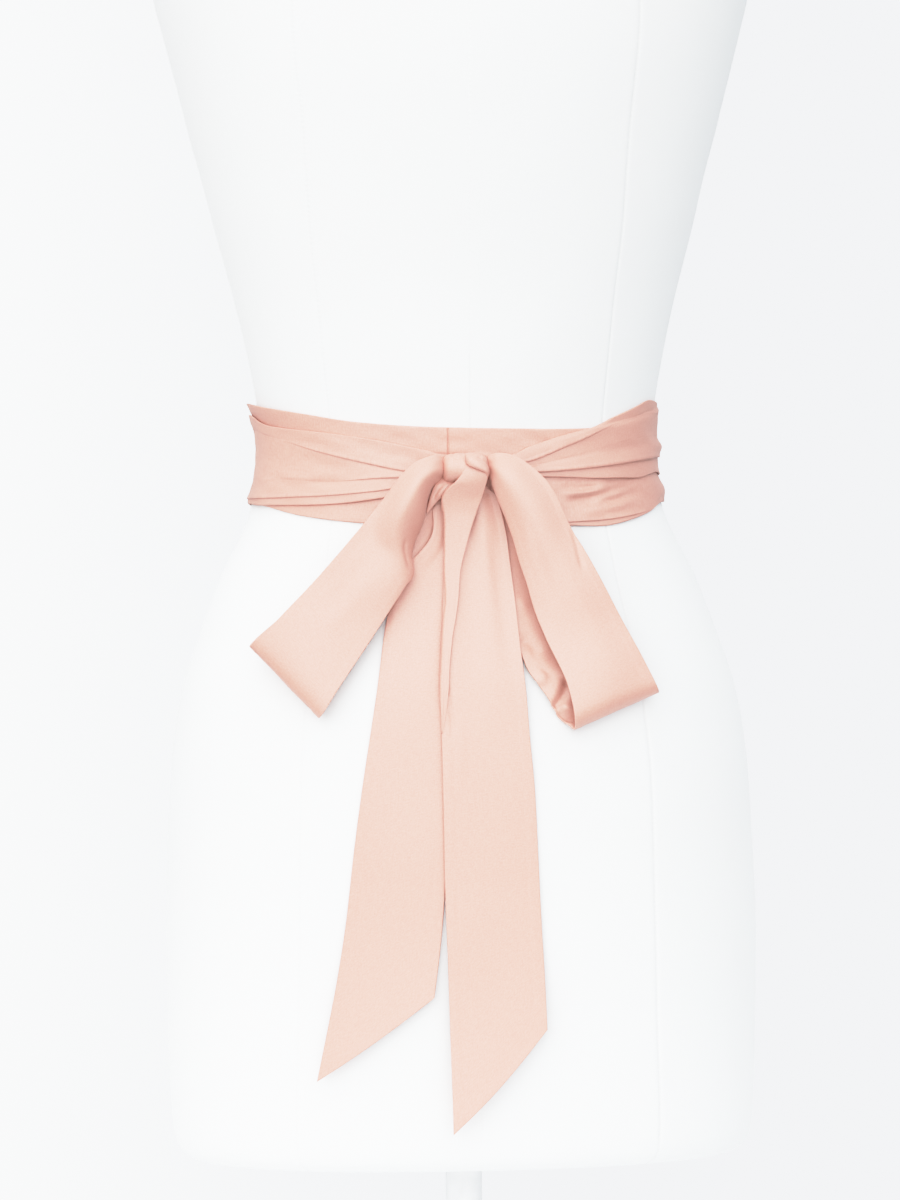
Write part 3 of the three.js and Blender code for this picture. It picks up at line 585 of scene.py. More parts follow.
# The two turns round the waist are one long strip.
# Each stretch by angle from the middle of the back: its edges and the three lines where it is folded
overRight = columns("angle bottom low mid high top", [
    [2.3, -14.9, -10.9, -9, -6.9, -2.9], [7.3, -14.1, -10.6, -8.6, -6.6, -2.1],
    [14.8, -13.9, -10.5, -8.2, -5.8, -0.9], [23.1, -13.9, -10.7, -7, -3.5, 5.2],
    [36.5, -14.3, -9.2, -2, 5.7, 12.6], [48.2, -14.8, -7, 3, 14.2, 17.9],
    [56, -14.4, -5.1, 7, 19.9, 24.3], [65.8, -13.9, -2.4, 11, 25.3, 31.2],
    [72.6, -11.3, -0.8, 13, 27.7, 35.4], [78.4, -9.8, 0.5, 14, 28.2, 35.7],
    [90, -11.4, 1.1, 14, 27.6, 34.6], [120, -14, 4, 16, 27, 38], [150, -6, 12, 21, 30, 41],
    [172, 3.8, 18, 25, 31, 42.5],
])
firstTurn = columns("angle bottom low mid high top", [
    [-180, 4.2, 18, 25, 31, 42.5], [-172, 3.8, 18, 25, 31, 42.5], [-150, -8, 9, 19, 29, 41],
    [-120, -25, -10, 6, 20, 37.5], [-90, -26.6, -12, 4, 18, 37.3], [-74.5, -29.7, -15, 0, 14, 32.6],
    [-59.1, -36.3, -20, -5, 9, 27], [-43.7, -40.5, -25, -10, 5, 21.7], [-23.4, -43.4, -28, -13, 2, 18.2],
    [1.8, -45, -41, -15, 0, 16.6], [18, -44.6, -42.8, -14.5, 0.2, 16.2],
    [33.5, -44.2, -42.3, -14, 0.5, 16], [48.2, -44.2, -40.2, -12, 2, 17],
    [57, -41.1, -38.3, -10, 4, 18.9], [67.7, -35.5, -34.4, -6, 8, 23.7], [77.4, -29.3, -27, -3, 12, 27.7],
    [90, -28.4, -18, -2, 14, 31.6], [120, -28, -14, 0, 14, 30], [150, -33, -22, -10, 2, 16],
    [172, -36.5, -29, -20, -10, 5.4], [180, -36.5, -29, -20, -10, 5],
])
overLeft = columns("angle bottom low mid high top", [
    [-172, -36.5, -29, -20, -10, 5.4], [-150, -35, -28, -16, -3, 12], [-120, -32, -27, -14, 6, 25],
    [-95, -27.9, -24.1, -12.6, 17.4, 29.9], [-86.9, -27.7, -24.1, -12.6, 19.4, 29],
    [-77.6, -29.2, -24.5, -13, 15.8, 22.5], [-69.4, -29.6, -24.5, -13.3, 11.6, 19.5],
    [-50.9, -29.9, -23.9, -15.6, 1.6, 14.7], [-33.5, -26.9, -21.5, -13.6, -6.2, 9.2],
    [-24, -23.6, -18.8, -13.4, -9.6, 5.6], [-18.3, -21.5, -17.5, -13.3, -10.4, 3.4],
    [-10.2, -17.2, -14.3, -11.1, -7.9, -0.2], [-2.5, -15.9, -12.9, -9.7, -6.5, -2.4],
])
# How far the cloth above each line stands out over it, by turn: below -180 and above 180 is the second turn
foldHeights = columns("turn low mid high", [
    [-357.7, 0.3, 0, 0.3], [-348, 1.2, 0, 0.9], [-324, 1.5, 0, 1.1], [-314, 1.6, 0, 0.8],
    [-303, 1.8, 0, 0], [-288, 1.8, 0, 0], [-270, 1.3, 0.2, 0.3], [-250, 1.5, 0.6, 1],
    [-215, 1.5, 0.9, 1.2], [-180, 1.2, 1, 1.2], [-150, 0.9, 0.7, 1], [-125, 0.3, 0.2, 0.5],
    [-105, 0, 0, 0], [22, 0, 0, 0], [34, 0.8, 0, 0], [60, 0.8, 0, 0], [70, 0, 0, 0], [110, 0, 0, 0],
    [135, 0.4, 0.5, 0.2], [160, 1, 0.9, 0.8], [180, 1.2, 0.8, 1.2], [215, 1, 0.6, 1],
    [250, 0.9, 0.2, 0.6], [270, 0.9, 0, 0], [292, 0.9, 0, 0], [303, 0.9, 0, 0.6], [314, 0.8, 0.1, 0.8],
    [322, 0.8, 0.7, 0.9], [334, 0.9, 1, 1], [348, 0.9, 0.9, 0.9], [357.5, 0.3, 0.3, 0.3],
])
sashTurns = {
    "thickness": 0.8,
    "lift": 1.05,
    "overLift": 1.45,
    "leastUnder": 0.15,
    "coverFade": (2.5, 0.5),  # how far outside and inside an edge the cloth steps up on it
    "overStart": (172, 187),  # the turns between which the second turn comes on the first
    # how far apart the rows are, in degrees, and where they are close together
    "rowAngle": 1,
    "hiddenRowAngle": 1.8,
    "closeAngle": 96,
    "panelSteps": [6, 18, 10, 10],
    # the lines close to the two sewn edges, and how far in the even ones start
    "edgeShares": [0, 0.004, 0.012, 0.03],
    "evenStart": 0.08,
    # radii that turn an angle into a length round the waist
    "waistRadius": 113,
    "backRadius": 92,
    # a fold in section, from the cloth tucked under it round its lip to the cloth above it:
    # up the band, and out
    "foldSection": [(0.9, 0.02), (0.7, 0.3), (0.15, 0.42), (-0.45, 0.55), (-0.62, 0.74), (-0.45, 0.93),
                    (0, 1), (0.8, 0.99)],
    "foldDecay": 15,  # how far above a fold the cloth lies down again
    "fullFold": 0.9,  # the height of a fold that has the whole section
    "mostFold": 1.4,  # the largest section, as a multiple of that one
    "foldRoom": 4, "leastRoom": 0.1,  # panels narrower than this have smaller folds, down to that share
    # how far a panel starts above one fold and stops below the next, the least of that, and the most
    # of its width that it may take
    "clearAbove": 1.15, "clearBelow": 0.95, "clearLeast": 0.15, "clearMost": 0.4,
    # how much finer the unevenness is across the strip, then its size, height and seed
    "ripples": [(1.6, 46, 0.22, 11), (3.5, 30, 0.13, 12)],
    "centreSeam": -8.75,
    "seamSteps": [0, 0.12, 0.25, 0.4, 0.6, 0.9, 1.4],
    "seamDepth": 0.7,
    "seamWidth": 0.5,
    "allowanceHeight": 0.1,
    "allowanceWidth": 3.5,
    "wrinkleRange": (-0.95, 2),
    # turn, spread and height of the places where a top edge stands off
    "flares": [(-95, 22, 5), (266, 16, 3)],
    "flareReach": (16, -3),  # how far below the edge it starts and is full
    # turn, spread, rise, spread and height of the places where the cloth stands off below them
    "puffs": [(-270, 14, 7, 4.5, 3), (90, 14, -20, 6, 3)],
}
waistCreases = [  # turn and rise, the turn in millimetres round the waist
    crease([(54, -15.6), (80, -16.2), (108, -15.6), (135, -14.2)], 0.9, 0.8, 0.25),
    crease([(66, -19.6), (82, -21.3), (98, -19.4)], 1.6, 2, 0.25),
    crease([(66, -29.8), (76, -28.6), (97, -25), (126, -17.8)], 2, 2.3, 0.3),
    crease([(92, -30.6), (110, -27), (132, -21.6)], 1.7, 2.2),
    crease([(64, -24.8), (84, -23.6), (104, -20.6)], -2.2, 1.9),
    crease([(84, -29.4), (102, -25.4), (122, -20.6)], -1.5, 1.6),
    crease([(72, -36.5), (98, -33.5), (128, -26.5)], -1.5, 3.2),
    crease([(591, -16.8), (606, -16), (622, -15.1)], 0.4, 2.4),
    crease([(566, -13), (590, -12.6), (612, -11)], -0.6, 3),
    crease([(540, 4), (566, 0), (600, -5), (630, -8)], 0.5, 4),
    crease([(-560, 8), (-590, 5), (-610, 1)], 0.6, 3),
]


def joinStretches():
    parts = []
    for table, shift in ((overRight, -360), (firstTurn, 0), (overLeft, 360)):
        parts.append({"turn": table["angle"] + shift, **table})
    return {name: np.concatenate([part[name] for part in parts]) for name in parts[0] if name != "angle"}


def wrapAngle(turn):
    return (turn + 180) % 360 - 180


# Where the rows of the strip stand, closer together on the bow's side and beside the centre seam
def turnSteps(first, last):
    g = sashTurns
    fine = 0.1
    turns = np.arange(first, last, fine)
    close = np.abs(wrapAngle(turns)) < g["closeAngle"]
    travelled = np.cumsum(np.where(close, fine / g["rowAngle"], fine / g["hiddenRowAngle"]))
    turns = np.interp(np.linspace(travelled[0], travelled[-1], int(travelled[-1])), travelled, turns)
    turns[-1] = last
    beside = np.array(g["seamSteps"])
    return np.unique(np.concatenate([turns, g["centreSeam"] + beside, g["centreSeam"] - beside]))


# The strip's section at each turn: four panels with a fold between each two. It gives the rise with the
# folds, the rise as if flat, how far the cloth stands out, and its place across the strip.
def foldedSection(row, folds):
    g = sashTurns
    names = ["bottom", "low", "mid", "high", "top"]
    panelWidth = sashWidth / 5
    none = 0 * row["bottom"]
    edges = [row[name] for name in names]
    widths = np.diff(edges, axis=0)
    heights = [none] + [np.maximum(folds[name], 0) for name in names[1:-1]]
    strengths = [none]
    for name, room in zip(names[1:-1], np.minimum(widths[:-1], widths[1:])):
        strengths.append(np.clip(folds[name] / g["fullFold"], 0, g["mostFold"])
                         * np.clip(room / g["foldRoom"], g["leastRoom"], 1))
    strengths.append(none)
    places = []  # rise, flat rise, relief and crossing of each line along the strip
    for k, (lower, width, steps) in enumerate(zip(edges, widths, g["panelSteps"])):
        most = g["clearMost"] * width
        start = np.minimum(g["clearAbove"] * strengths[k] + g["clearLeast"], most) * (k > 0)
        stop = np.minimum(g["clearBelow"] * strengths[k + 1] + g["clearLeast"], most) * (k < 3)
        shares = np.linspace(0, 1, steps)
        if k == 0:
            shares = np.concatenate([g["edgeShares"], np.linspace(g["evenStart"], 1, steps)])
        elif k == 3:
            shares = np.concatenate([np.linspace(0, 1 - g["evenStart"], steps),
                                     1 - np.array(g["edgeShares"][::-1])])
        for share in shares:
            rise = lower + start + (width - start - stop) * share
            below = 1 - np.clip((rise - lower) / g["foldDecay"], 0, 1)
            relief = heights[k] * below ** 2 * (1 - blendOver((rise - lower) / width, 0.6, 1.0))
            places.append((rise, rise, relief, none + panelWidth * (k + share + 0.5)))
        if k == 3:
            break
        upper, strength = edges[k + 1], strengths[k + 1]
        for n, (up, share) in enumerate(g["foldSection"]):
            rise = upper + up * strength + 0.02 * n * (1 - np.clip(strength, 0, 1))
            places.append((rise, upper + 0.03 * (n - 4), heights[k + 1] * share,
                           none + panelWidth * (k + 1.5) + 0.1 * n))
    return (np.stack(part, 1) for part in zip(*places))


def makeSashTurns():
    g = sashTurns
    strip = joinStretches()
    turns = turnSteps(strip["turn"][0], strip["turn"][-1])
    rise, flat, relief, crossing = foldedSection(readTable(strip, "turn", turns),
                                                 readTable(foldHeights, "turn", turns))
    turn = np.repeat(turns[:, None], rise.shape[1], 1)
    angle = wrapAngle(turn)
    # the second turn lies on the first where the first is under it
    first = readTable(firstTurn, "angle", angle)
    outside, inside = g["coverFade"]
    covered = blendOver(flat, first["bottom"] - outside, first["bottom"] + inside) * (
        1 - blendOver(flat, first["top"] - inside, first["top"] + outside))
    over = g["overLift"] * covered * blendOver(np.abs(turn), *g["overStart"])
    distance = np.radians(turn) * g["waistRadius"]
    wrinkles = creaseRelief(distance, flat, waistCreases)
    for stretch, size, height, seed in g["ripples"]:
        wrinkles += unevenness(distance, flat * stretch, size, height, seed)
    seamGap = np.radians(angle - g["centreSeam"]) * g["backRadius"]
    seam = g["allowanceHeight"] * bell(seamGap, g["allowanceWidth"])
    seam -= g["seamDepth"] * bell(seamGap, g["seamWidth"])
    wrinkles = np.clip(wrinkles + (np.abs(turn) < 180) * seam, *g["wrinkleRange"])
    flare = sum(height * bell(turn - middle, spread) for middle, spread, height in g["flares"])
    wrinkles += flare * blendOver(flat, *(flat[:, -1:] - below for below in g["flareReach"]))
    for middle, spread, level, tall, height in g["puffs"]:
        wrinkles += height * bell(turn - middle, spread) * bell(flat - level, tall)
    half = halfThickness(np.minimum(flat - flat[:, :1], flat[:, -1:] - flat), g["thickness"])
    outer = g["lift"] + over + half + relief + wrinkles
    inner = g["lift"] + over - half
    inner = np.maximum(inner + wrinkles, np.minimum(inner, g["leastUnder"] + over))
    outward = formNormal(angle, flat)
    front = formPoint(angle, rise) + outward * outer[..., None]
    back = formPoint(angle, flat) + outward * inner[..., None]
    return makeWall("sashTurns", front, back, np.stack([crossing, distance, 0 * turn], -1), blushSatin)


turnsPiece = makeSashTurns()
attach(turnsPiece, "root")
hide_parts("wrap_first", "wrap_over_left", "wrap_over_right")
print("turns made")


# The loops, the folded strip and the knot's small folds are ribbons
ribbon = {
    "step": 1.3,
    # between these shares of the width, the table's round takes over from a plain crown
    "roundFrom": 0.4, "roundTo": 0.65,
    "rollSteps": 10, "leastCurl": 0.02,
    "endReach": 8,  # the creases die away this near the ends
}


# A ribbon between an outer and an inner edge. Crown is its bulge, skew moves the crest to the inner edge,
# and curl is how much of it rolls back behind the inner edge.
def ribbonGrid(table, shape):
    g = ribbon
    width, radius = shape.get("width", sashWidth), shape["curlRadius"]
    length = table["along"][-1]
    s = np.linspace(0, length, int(length / shape["spacing"]) + 1)
    row = {name: values[:, None] for name, values in readTable(table, "along", s).items()}
    across = edgedSteps(width, g["step"])
    side = across[None] / width
    rounded = lerp(1, row.get("round", 1), blendOver(side, g["roundFrom"], g["roundTo"]))
    crest = np.maximum(np.sin(np.pi * side ** row["skew"]), 0) ** rounded
    outs = lerp(row["outerOut"], row["innerOut"], side) + row["crown"] * crest
    xs = lerp(row["outerX"], row["innerX"], side)
    rs = lerp(row["outerRise"], row["innerRise"], side)
    if "gathers" in shape:
        folds = shape["gathers"]
        fade = 1 - blendOver(np.minimum(s, length - s), 0, folds["reach"])[:, None]
        gathered = np.sin(2 * np.pi * folds["count"] * side + folds["phase"]) * np.sin(np.pi * side)
        outs = outs + folds["height"] * fade * gathered
    # the roll behind the inner edge goes on in the direction in which the cloth meets it
    ex, er = row["innerX"] - row["outerX"], row["innerRise"] - row["outerRise"]
    reach = np.hypot(ex, er)
    ex, er = ex / reach, er / reach
    slope = np.arctan2(outs[:, -4:-3] - outs[:, -1:], reach * (side[:, -1:] - side[:, -4:-3]))
    rolled = np.linspace(0, 1, g["rollSteps"] + 1)[None, 1:] * np.maximum(row["curl"], g["leastCurl"])
    turned = slope + rolled / radius
    onward = radius * (np.sin(turned) - np.sin(slope))
    behind = radius * (np.cos(slope) - np.cos(turned))
    xs = np.concatenate([xs, xs[:, -1:] + ex * onward], 1)
    rs = np.concatenate([rs, rs[:, -1:] + er * onward], 1)
    outs = np.concatenate([outs, outs[:, -1:] - behind], 1)
    v = np.concatenate([np.repeat(across[None], len(s), 0), width + rolled], 1)
    u = np.repeat(s[:, None], v.shape[1], 1)
    return np.stack([xs, -outs, waistHeight + rs], -1), u, v


def makeRibbon(name, table, shape):
    grid, u, v = ribbonGrid(table, shape)
    shift = creaseRelief(u, v, shape.get("creases", [])) + unevenness(u, v, *shape["ripple"])
    shift *= blendOver(np.minimum(u, table["along"][-1] - u), 0, ribbon["endReach"])
    normals = gridNormals(grid)
    towardsBow = np.where(normals[..., 1:2] > 0, -1, 1) * normals
    grid = grid + towardsBow * shift[..., None]
    edge = np.minimum(v, v[:, -1:] - v)
    return makeCloth(name, grid, np.stack([v, u, 0 * u], -1), edge, shape["thickness"], blushSatin)


leftLoop = columns("along outerX outerRise outerOut innerX innerRise innerOut crown skew curl round", [
    [0, -17, -1.6, 101, -16.5, -14.9, 99, 4, 1.1],
    [5, -21.2, -0.6, 105, -20.4, -18.2, 98, 9, 1.05, 6, 0.7],
    [13, -26.6, -1.3, 108, -25, -22, 97, 12, 1, 9, 0.6],
    [21, -36, -5.1, 110, -28.3, -29.4, 98.5, 13.3, 0.98, 11, 0.52],
    [33, -45.4, -13.5, 110.5, -30.4, -40.4, 100, 13.5, 0.98, 11, 0.48],
    [47, -54.6, -25.7, 110, -35.4, -52, 100.5, 13, 1.02, 11, 0.48],
    [58, -62.8, -35.7, 110, -38.2, -62, 103, 10, 1.2, 8, 0.52],
    [68, -70.2, -44.8, 110, -38.4, -72, 107.5, 6, 1.5, 3, 0.7],
    [76, -75.3, -50.7, 109.6, -42.6, -78.9, 111.5, 4, 1.6, 0.2, 0.9],
    [87, -82.4, -59, 109, -48.6, -88.6, 113, 3.6, 1.6], [116, -101.3, -80.1, 107, -66, -115, 115, 2.6],
    [146, -122.2, -101.5, 105.5, -85, -142.5, 118, 2],
    [156, -129, -108, 104.5, -89.5, -149.5, 118.5, 1.6],
    [163, -133.6, -112.2, 102.8, -93.3, -155.5, 117.8, 1.2],
    [168, -136.3, -114.7, 100, -95.4, -158.6, 115.8, 0.6],
    [172, -137.4, -115.6, 96.4, -96.2, -159.6, 112.6], [176, -136.2, -114.3, 93, -95.4, -158, 110, -0.5],
    [181, -132.4, -110.6, 91, -92.2, -153.6, 109, -1], [226, -98, -81, 96, -66.4, -112.3, 109],
    [255, -78.8, -61.2, 95, -52.1, -86.4, 104], [279, -63.6, -42.3, 99, -36, -64, 98.2],
    [295, -51.5, -27.4, 103, -26, -53, 96.4], [309, -43.3, -15.5, 103.5, -21.6, -42, 96.2],
    [321, -34.3, -7.6, 101, -19, -29, 96.4], [330, -24.2, -3.2, 96.5, -21.5, -18.3, 97],
    [336, -18, -3.3, 97, -18.1, -15.3, 97],
], plain=(0, 1, 0, 1))
rightLoop = columns("along outerX outerRise outerOut innerX innerRise innerOut crown skew curl", [
    [0, 9, -1.4, 101, 9, -10, 102, 3, 1, 1], [7, 16, 0.2, 104, 10.4, -12.6, 105.5, 5, 1.2, 2],
    [14, 25.5, -1.6, 106, 11.8, -16.4, 108.5, 6, 1.3, 2],
    [22, 35.3, -8, 108, 14.2, -23.4, 110, 7, 1.3, 2],
    [32, 43.7, -15.7, 109.5, 17.2, -31.5, 111, 7, 1.3, 2],
    [42, 49.4, -24.2, 110.5, 20.5, -40, 111.5, 7, 1.25, 2],
    [53, 53.6, -33.4, 111, 23.8, -51, 112, 6.5, 1.2, 1],
    [66, 58.6, -44.6, 111, 27.2, -65, 113, 6, 1.1, 0.6], [82, 67, -59, 111.5, 31.4, -80.2, 114.4, 5],
    [101, 76.8, -77.4, 112, 35.8, -96.7, 116, 4.5], [121, 86.9, -96.4, 112, 42.4, -114.3, 120, 3.5],
    [146, 99.8, -121, 113, 52.6, -137, 125.5, 3], [158, 105.8, -132.8, 113.2, 56, -149.5, 128, 2.6],
    [166, 109.8, -140.6, 113, 57.6, -158.8, 129.2, 2], [171, 111.9, -144.8, 111, 58.2, -164.6, 128, 1.2],
    [176, 112.6, -146.6, 107, 58.3, -168, 124.6, 0.6], [180, 111.4, -145.2, 104.4, 56.5, -167.6, 121.6],
    [188, 108, -139.6, 102.6, 48.6, -160, 119.8], [202, 101.5, -128, 101, 40.6, -146.8, 118.5],
    [220, 90.7, -108.9, 99, 29.5, -129.3, 116.5], [262, 68.1, -72.7, 96, 19.4, -90.2, 107.5],
    [300, 48.4, -41.5, 94.5, 13.8, -52.1, 99.5], [325, 33.6, -23.3, 95, 12, -28.1, 97],
    [341, 17.7, -13.7, 97, 11.6, -18.1, 97],
], plain=(0, 1, 0))
leftLoopCloth = {
    "thickness": 0.9, "spacing": 1.3, "curlRadius": 4.5, "ripple": (48, 0.3, 21),
    "gathers": {"count": 2, "phase": 0.6, "height": 0.7, "reach": 26},
    "creases": [
        crease([(52, 44), (60, 50), (69, 57)], 1.2, 3),
        crease([(74, 34), (104, 32), (140, 27)], -0.5, 7),
        crease([(64, 24), (92, 20), (128, 20)], 0.5, 6),
    ],
}
rightLoopCloth = {
    "thickness": 0.9, "spacing": 1.3, "curlRadius": 3, "ripple": (50, 0.3, 31),
    "gathers": {"count": 1.5, "phase": 0.3, "height": 0.7, "reach": 26},
    "creases": [
        crease([(66, 0), (80, 5), (95, 12)], 0.8, 2.4, 0.3),
        crease([(40, 38), (84, 42), (112, 44)], 0.6, 5),
        crease([(60, 22), (110, 24), (150, 22)], -0.5, 7),
        crease([(216, 36), (200, 48), (186, 62)], -3.4, 9, 0.3),
        crease([(206, 42), (198, 51), (191, 61)], 3.6, 2.6, 0.2),
        crease([(191, 60), (184, 57.5), (180, 50)], 2, 1.6, 0.2),
        crease([(186, 47), (190, 54), (194, 56)], -1.6, 1.8),
        crease([(183, 60), (180, 57)], -1.4, 1.5),
        crease([(214, 52), (209, 58), (207, 61)], -1.6, 2.6),
        crease([(222, 48), (234, 55), (240, 61)], 1.5, 4),
        crease([(252, 44), (262, 54), (268, 60)], -1, 5),
    ],
}
loopLeft = makeRibbon("bowLoopLeft", leftLoop, leftLoopCloth)
loopRight = makeRibbon("bowLoopRight", rightLoop, rightLoopCloth)
for piece, node in ((loopLeft, "bow_loop_left"), (loopRight, "bow_loop_right")):
    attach(piece, "root")
    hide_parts(node)
print("loops made")


# The tails, lying down the form
leftTail = columns("along leftX leftRise rightX rightRise leftLift rightLift gather", [
    [0, -20.4, -18.2, -1.3, -16.4, 6.2, 5.3, 0.5], [12, -24.6, -28, 1, -28, 6.4, 5.1, 0.5],
    [22, -24.4, -37, 1, -38, 6.2, 4.8, 0.3], [30, -24.4, -44.6, 0.7, -46, 5.8, 4.4, 0.2],
    [37, -26.6, -51.6, 0.2, -52.6, 5.4, 4.2, 0.2], [45, -33.4, -60, -0.8, -60.6, 4.8, 4, 0.2],
    [57, -46.2, -73, -2.5, -72, 3.8, 3.4, 0.3], [86, -54.4, -102.4, -6.6, -99.9, 2.4, 2.4, 0.3],
    [124, -61.1, -143.3, -11.5, -137.9, 1.7, 1.7, 0.2], [148, -65.2, -167.3, -13.8, -159.8, 1.5, 1.5],
    [179, -70.6, -199.3, -16.2, -187.8, 1.4, 1.4], [217, -76.5, -240.2, -19.2, -223.8, 1.4, 1.4],
    [256, -81.8, -284.1, -21.3, -257.8, 1.5, 1.4], [287, -87.5, -319.1, -23.3, -282.8, 1.8, 1.5],
    [315, -93.9, -351, -25.9, -306.7, 2.4, 1.7], [342, -100.2, -380.5, -29.1, -330, 3.4, 2],
], plain=(0,))
rightTail = columns("along leftX leftRise rightX rightRise leftLift rightLift gather", [
    [0, -12.3, -19.6, 8.6, -20.2, 8.3, 8.3, 0.7], [8, -17.4, -25.8, 14.6, -25.6, 8.2, 7.6, 0.8],
    [28, -16.8, -45.8, 20, -46.2, 7.4, 6.6, 0.8], [47, -18.4, -64.8, 22.2, -65.2, 6.5, 5.8, 0.8],
    [70, -19.7, -87.8, 24.5, -88.2, 5.6, 5.2, 0.6], [98, -21.4, -115.8, 26.6, -116.3, 4.9, 4.8, 0.4],
    [126, -22.4, -143.8, 29.3, -144.3, 4.3, 4.2, 0.2], [156, -23, -173.7, 31.1, -173.3, 4, 2.6],
    [190, -22.7, -207.8, 33.6, -205.3, 3.9, 1.9], [238, -22.2, -261.8, 35.4, -250.4, 3.9, 1.7],
    [280, -20.9, -309.8, 36.8, -285.4, 4, 1.8], [318, -19.9, -354.8, 38.3, -315.4, 4.5, 2.2],
    [347, -19.1, -389.8, 39.2, -338.4, 5.2, 2.8], [365, -18.8, -412.8, 39.6, -350.4, 5.8, 3.2],
], plain=(0,))
tailCloth = {
    "left": {"ripple": (80, 0.22, 41), "endBow": 1.2, "creases": [
        crease([(20, 20), (60, 26), (110, 30)], 0.5, 5),
    ]},
    "right": {"ripple": (80, 0.22, 43), "endBow": 3.0, "creases": [
        crease([(116, 3.6), (131, 5.3), (142, 6.6), (158, 7.4)], 0.8, 1.3, 0.3),
        crease([(140, 12), (160, 13), (184, 12)], -0.4, 3),
        crease([(16, 42), (60, 46), (120, 50)], 0.5, 5),
    ]},
    "thickness": 0.9, "rowStep": 1.5, "step": 1.3, "waves": 2, "leastLift": 0.75,
    "bowLength": 60,  # the length in which the end takes its bowed shape
}


def makeTail(name, table, shape):
    g = tailCloth
    length = table["along"][-1]
    s = edgedSteps(length, g["rowStep"], start=False)
    across = edgedSteps(sashWidth, g["step"])
    row = {key: values[:, None] for key, values in readTable(table, "along", s).items()}
    u, v = np.meshgrid(s, across, indexing="ij")
    side = v / sashWidth
    bow = shape["endBow"] * blendOver(u, length - g["bowLength"], length) * np.sin(np.pi * side)
    x = lerp(row["leftX"], row["rightX"], side)
    rise = lerp(row["leftRise"], row["rightRise"], side) - bow
    lift = lerp(row["leftLift"], row["rightLift"], side)
    lift = lift + row["gather"] * np.sin(2 * np.pi * g["waves"] * side)
    lift += creaseRelief(u, v, shape["creases"]) + unevenness(u, v * 1.5, *shape["ripple"])
    grid = np.stack([x, -backDepth(x, rise) - np.maximum(lift, g["leastLift"]), waistHeight + rise], -1)
    edge = np.minimum(np.minimum(v, sashWidth - v), length - u)
    return makeCloth(name, grid, np.stack([v, u, 0 * u], -1), edge, g["thickness"], blushSatin)


tailLeft = makeTail("tailLeft", leftTail, tailCloth["left"])
tailRight = makeTail("tailRight", rightTail, tailCloth["right"])
for piece, node in ((tailLeft, "tail_left"), (tailRight, "tail_right")):
    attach(piece, "root")
    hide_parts(node)

# The strip of the right tail that is folded over its front. Its upper end comes down over the knot.
foldedStrip = columns("along freeX freeRise leftX leftRise freeLift leftLift crown curl", [
    [0, 8.3, -9.8, -2.9, -5.2, 21.5, 21.3, 0.6, 0], [4, 8.2, -12.8, -5, -8.4, 22, 22, 1, 0.4],
    [8, 7.8, -15.9, -7, -12.4, 21, 22, 1.2, 0.8], [12, 7, -18.9, -10.6, -17.3, 19.8, 20.9, 1.2, 1.2],
    [17, 6, -23, -15, -21, 18, 18.8, 1, 1.8], [22, 4.9, -26.6, -18.2, -26.4, 16.2, 16.6, 0.8, 2.6],
    [28, 2.9, -32, -18, -32, 14.6, 14.6, 0.6, 3.2], [35, 0.9, -37.6, -17, -37.6, 13.1, 13.1, 0.5, 3.4],
    [43, -1.8, -45.6, -16.9, -45.6, 11.8, 11.7, 0.4, 3.4],
    [55, -5.3, -57.4, -17.2, -57.4, 10.4, 10.2, 0.3, 3.3],
    [69, -8.9, -71.4, -17.6, -71.4, 9.3, 9, 0.2, 3.2], [86, -10.7, -88.6, -17.3, -88.6, 8.5, 8, 0.1, 3],
    [98, -12.6, -100, -18.7, -100, 7.8, 7.3, 0, 3], [109, -14.9, -111.4, -19.9, -111.4, 7.4, 6.9, 0, 2.9],
    [127, -17.2, -129.2, -21.2, -129.2, 6.8, 6.4, 0, 2.4], [139, -18, -141, -21.9, -141, 6, 5.9, 0, 1.8],
    [150, -19.2, -152, -22.3, -152, 5.3, 5.3, 0, 1], [160, -20.8, -162, -22.7, -162, 4.7, 4.7, 0, 0.4],
    [168, -22.4, -170, -23, -170, 4.2, 4.2, 0, 0.1],
])
stripCloth = {"thickness": 0.8, "spacing": 1.4, "curlRadius": 1.15, "width": 24, "ripple": (30, 0.12, 51)}


# The strip's table as a ribbon's, with its heights over the form as depths
def stripTable(table):
    made = {name: table[name] for name in ("along", "crown", "curl")}
    made["skew"] = 0 * table["along"] + 1
    for edge, side in (("outer", "free"), ("inner", "left")):
        x, rise = table[side + "X"], table[side + "Rise"]
        made[edge + "X"], made[edge + "Rise"] = x, rise
        made[edge + "Out"] = backDepth(x, rise) + table[side + "Lift"]
    return made


tailStrip = makeRibbon("tailRightStrip", stripTable(foldedStrip), stripCloth)
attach(tailStrip, "root")
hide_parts("tail_right_fold")
print("tails made")


# The knot's band is wound round the bow, and small folds come out of it
knot = {
    "x": -4.9, "out": 103, "rise": -8.9, "halfWidth": 14, "halfDepth": 9.6, "halfHeight": 9.9,
    "endPower": 3.6, "open": 0.97, "least": 0.04, "thickness": 1, "weaveRadius": 9, "rows": 60, "sides": 96,
    # lines of gathered folds round the band: place across, depth, width and how they lean
    "folds": [(-0.62, 0.05, 0.09, 0.12), (-0.3, 0.03, 0.1, 0.2), (0.12, 0.045, 0.08, -0.1),
              (0.5, 0.05, 0.09, 0.15)],
}


